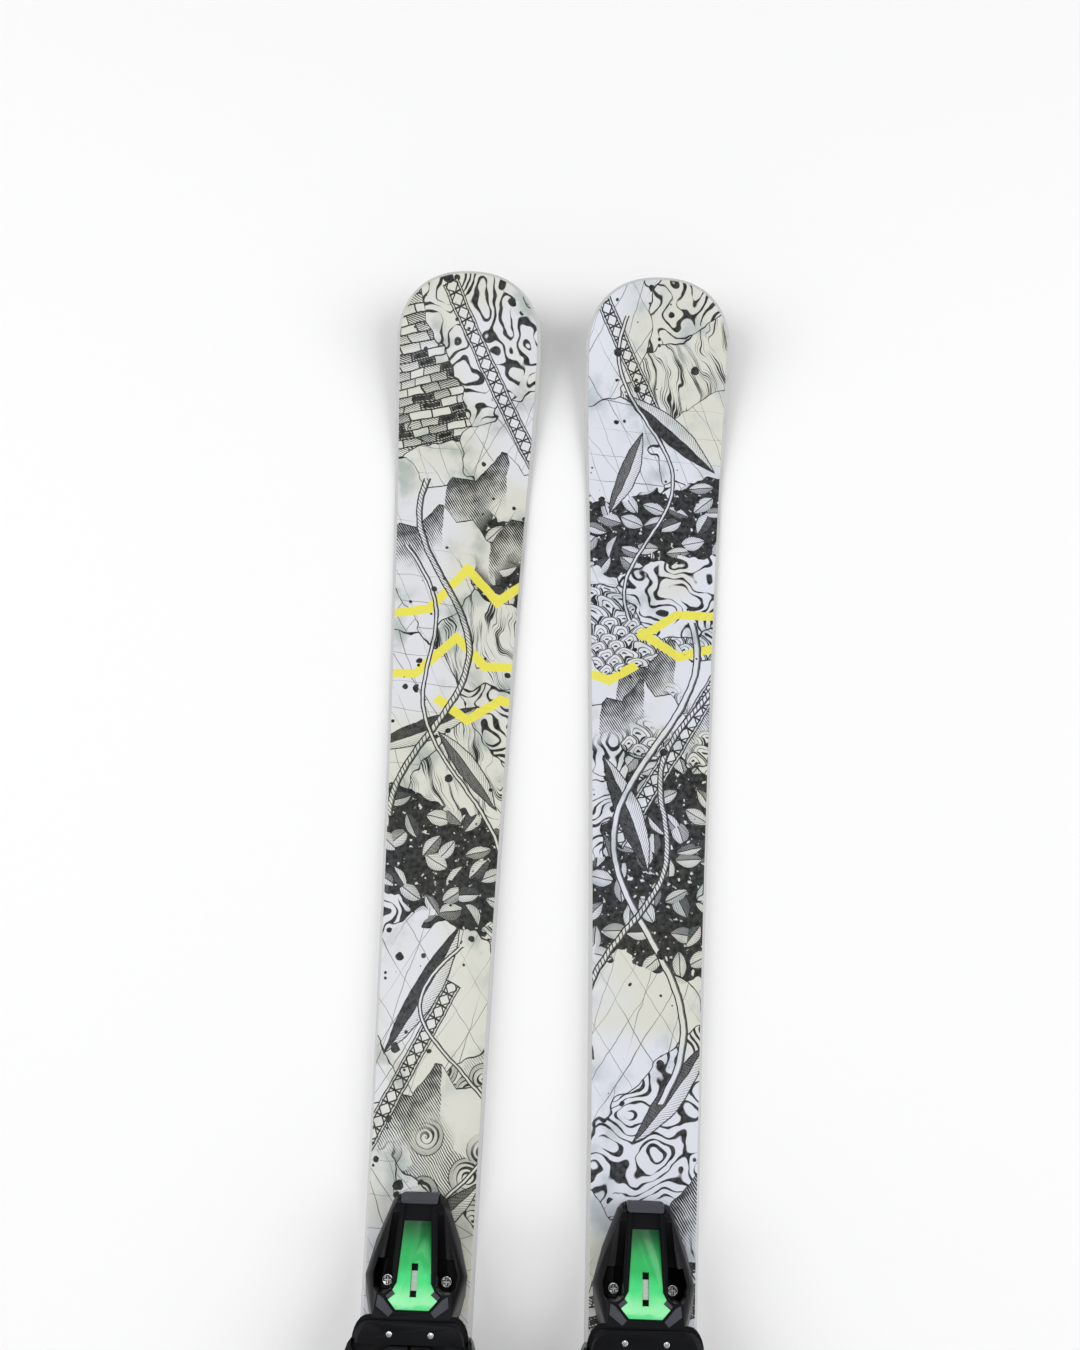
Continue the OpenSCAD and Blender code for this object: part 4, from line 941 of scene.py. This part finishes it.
window_material = window_finish()
white_material = plastic_finish("indicator_white", paint(206, 206, 202), paint(236, 236, 233), 0.3, shine=0.4)
for side in SIDES:
    moulded(side + "_toe_window", window_radius, window_material)
    marker = skin(side + "_toe_marker", ridged(side + "_toe_indicator"))
    stand_for(marker, side + "_toe_indicator", white_material)

# The steel fittings: zinc-plated screws with cross recesses that hold the binding down, the wing pins and
# the heel axle, turned from bar, the release screws that press on the springs, and the length screw.
screw_radius = 0.0004


def steel_finish(name, bright, dull, gloss):
    """Plated steel: cloudy gloss and fine wear."""
    material, shader, place = new_finish(name, Metallic=1.0)
    rub = cloud(place, 1.6, detail=4)
    smear = cloud(place, 9.0)
    feed(shader, height=rub, relief=0.02, Roughness=gloss + rub*0.15,
         Base_Color=tint(bright, dull, smear*0.5 + rub*0.3))
    return material


screw_material = steel_finish("screw_steel", paint(222, 223, 222), paint(176, 177, 178), 0.18)
fitting_rows = (("toe_wing_pins", 0.0003), ("toe_release_screw", 0.0003), ("heel_release_screw", 0.0003),
                ("heel_length_screw", 0.0002), ("heel_axle", 0.0003))
for side in SIDES:
    moulded(side + "_binding_screws", screw_radius, screw_material, inner=True)
    for piece_name, radius in fitting_rows:
        moulded(side + "_" + piece_name, radius, screw_material)

# The release springs: hard-drawn wire, coiled round the release screws and ground square at both ends.
# Each one is pressed between the head of its screw and the end of its tunnel.
spring_wire_d = 0.0024
spring_turns = {"toe_spring": 8, "heel_spring": 4}
turn_steps, wire_sides = 40, 16


def tube(path, radius, axis):
    """A round wire along a path: at each place a circle square to the path, whose first radius leans to
    the axis. Its ends are closed."""
    way = np.gradient(path, axis=0)
    way = way/np.linalg.norm(way, axis=1)[:, None]
    first = axis - way*(way @ axis)[:, None]
    first = first/np.linalg.norm(first, axis=1)[:, None]
    second = np.cross(way, first)
    turn = np.linspace(0, 2*math.pi, wire_sides, endpoint=False)[None, :, None]
    rings = path[:, None] + radius*(np.cos(turn)*first[:, None] + np.sin(turn)*second[:, None])
    ends = [np.repeat(path[k][None, None], wire_sides, axis=1) for k in (0, -1)]
    return np.concatenate([ends[0], rings, ends[1]])


def helix(node, turns):
    """The middle line of a coil that fills the node's box along the ski."""
    low, high = (np.array(corner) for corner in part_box(node))
    middle = (low + high)/2
    radius = (high[0] - low[0])/2 - spring_wire_d/2
    angle = np.linspace(0, 2*math.pi*turns, turn_steps*turns + 1)
    along = np.linspace(low[1] + spring_wire_d/2, high[1] - spring_wire_d/2, len(angle))
    return np.stack([middle[0] + radius*np.cos(angle), along, middle[2] + radius*np.sin(angle)], axis=1)


spring_material = steel_finish("spring_steel", paint(150, 152, 156), paint(96, 98, 102), 0.3)
for side in SIDES:
    for piece_name, turns in spring_turns.items():
        node = side + "_" + piece_name
        wire = tube(helix(node, turns), spring_wire_d/2, np.array([0.0, 1, 0]))
        coil = skin(node + "_coil", wire)
        stand_for(coil, node, spring_material)

# The heel piece and the sliding pad: a grey track, a black carriage with the spring's housing, the cup with
# its lever, moulded in the same nylon, and a low-friction pad in hard grey plastic under the boot's toe.
pad_material = plastic_finish("pad_grey", paint(44, 46, 50), paint(66, 68, 72), 0.45, shine=0.3)
heel_rows = (
    ("sliding_pad", 0.0012, "pad_grey", pad_material),
    ("heel_track", 0.0004, "binding_grey", grey_material),
    ("heel_carriage", 0.0012, "binding_black", black_material),
    ("heel_cup", 0.002, "binding_black", black_material),
    ("heel_lever", 0.0018, "binding_black", black_material),
    ("heel_indicator", 0.0002, "indicator_white", white_material),
)
for side in SIDES:
    for piece_name, radius, slot, material in heel_rows:
        moulded(side + "_" + piece_name, radius, material)

# The brake: two bent steel wires whose front ends turn in the carriage's cheeks, with moulded feet pressed
# on their back ends, and a grey pedal under the boot's heel that holds them up.
wire_inner, wire_bend = 0.006, 0.006
bend_steps, out_steps, back_steps = 12, 11, 23
foot_radius, pedal_radius = 0.0016, 0.001


def bent_wires(node):
    """Both arms of the node: a wire out along the axle, round a quarter bend, then straight back."""
    low, high = (np.array(corner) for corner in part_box(node))
    radius = (high[2] - low[2])/2
    out, axle_y = (high[0] - low[0])/2 - radius, high[1] - radius
    quarter = np.linspace(0, math.pi/2, bend_steps + 1)
    reach = np.linspace(wire_inner, out - wire_bend, out_steps + 1)[:-1]
    back = np.linspace(axle_y - wire_bend, low[1], back_steps + 1)[1:]
    x = np.concatenate([reach, out - wire_bend*(1 - np.sin(quarter)), np.full(len(back), out)])
    y = np.concatenate([np.full(len(reach), axle_y), axle_y - wire_bend*(1 - np.cos(quarter)), back])
    arm = np.stack([x, y, np.zeros(len(x))], axis=1)
    middle = ((low + high)/2)*(1, 0, 1)
    return np.stack([tube(middle + arm*(way, 1, 1), radius, np.array([0.0, 0, 1])) for way in (-1, 1)])


wire_material = steel_finish("brake_wire", paint(176, 178, 181), paint(132, 134, 138), 0.28)
for side in SIDES:
    arms = skin(side + "_brake_wires", bent_wires(side + "_brake_arms"))
    stand_for(arms, side + "_brake_arms", wire_material)
    moulded(side + "_brake_feet", foot_radius, black_material)
    moulded(side + "_brake_pedal", pedal_radius, pad_material)

# The studio: a pale floor under the skis, a dim ceiling between bright walls, a large soft box on each
# side and a small one overhead to the left for the sheen. The camera is above the skis, just ahead of the
# toe pieces.
floor_half = 6.0
floor_white = (0.93, 0.93, 0.93, 1)
wall_light, ceiling_light = (1.0, 1.0, 1.0, 1), (0.36, 0.36, 0.365, 1)
box_rows = (
    ("left_box", (-2.8, 0.6, 2.6), (0, 0.6, 0), (2.4, 3.0), 64),
    ("right_box", (2.8, 0.6, 2.6), (0, 0.6, 0), (2.4, 3.0), 64),
    ("sheen_box", (-0.3, 0.35, 2.0), (0, 0.4, 0), (0.4, 0.7), 3),
)
camera_place = (0.00067, 0.1972, 1.16735)
camera_pitch, camera_yaw, camera_roll = 0.2954, 0.0083, 0.0356
focal_px, image_h, sensor_w = 1500, 1350, 36.0

floor_mesh = bpy.data.meshes.new("floor")
corners = np.array([(-1, -1), (1, -1), (1, 1), (-1, 1)])*floor_half
floor_mesh.from_pydata([(cx, cy, 0.0) for cx, cy in corners], [], [(0, 1, 2, 3)])
floor = bpy.data.objects.new("floor", floor_mesh)
bpy.context.scene.collection.objects.link(floor)
floor_material, floor_shader, _ = new_finish("floor", Roughness=0.9, Specular_IOR_Level=0.1)
floor_shader.inputs["Base Color"].default_value = floor_white
floor_mesh.materials.append(floor_material)

world = bpy.data.worlds.new("studio")
world.use_nodes = True
bpy.context.scene.world = world
background = world.node_tree.nodes["Background"]
ray = Wire(world.node_tree.nodes.new("ShaderNodeTexCoord").outputs["Generated"])
_, _, ray_up = axes(ray)
sky = tint(wall_light, ceiling_light, rising(ray_up, 0.1, 0.7))
world.node_tree.links.new(sky.socket, background.inputs["Color"])
background.inputs["Strength"].default_value = 1.0


def soft_box(name, place, aim, size, watts):
    """An oblong area light at a place, turned to aim at a point."""
    lamp = bpy.data.lights.new(name, "AREA")
    lamp.shape = "RECTANGLE"
    lamp.size, lamp.size_y = size
    lamp.energy = watts
    box = bpy.data.objects.new(name, lamp)
    box.location = place
    box.visible_camera = False
    toward = (Vector(aim) - box.location).normalized()
    box.rotation_euler = toward.to_track_quat("-Z", "Y").to_euler()
    bpy.context.scene.collection.objects.link(box)


for row in box_rows:
    soft_box(*row)


def camera_axes():
    """The camera's right, up and back directions: pitched forward from straight down, then turned
    and rolled."""
    right = np.array([1.0, 0, 0])
    ahead = np.array([0, math.sin(camera_pitch), -math.cos(camera_pitch)])
    up = np.array([0, math.cos(camera_pitch), math.sin(camera_pitch)])
    right, ahead = (math.cos(camera_yaw)*right + math.sin(camera_yaw)*ahead,
                    math.cos(camera_yaw)*ahead - math.sin(camera_yaw)*right)
    right, up = (math.cos(camera_roll)*right + math.sin(camera_roll)*up,
                 math.cos(camera_roll)*up - math.sin(camera_roll)*right)
    return right, up, -ahead


camera_data = bpy.data.cameras.new("camera")
camera_data.sensor_fit = "AUTO"
camera_data.sensor_width = sensor_w
camera_data.lens = sensor_w*focal_px/image_h
camera = bpy.data.objects.new("camera", camera_data)
turn = Matrix(np.stack(camera_axes(), axis=1).tolist()).to_4x4()
camera.matrix_world = Matrix.Translation(camera_place) @ turn
bpy.context.scene.collection.objects.link(camera)
bpy.context.scene.camera = camera
bpy.context.scene.view_settings.view_transform = "Standard"
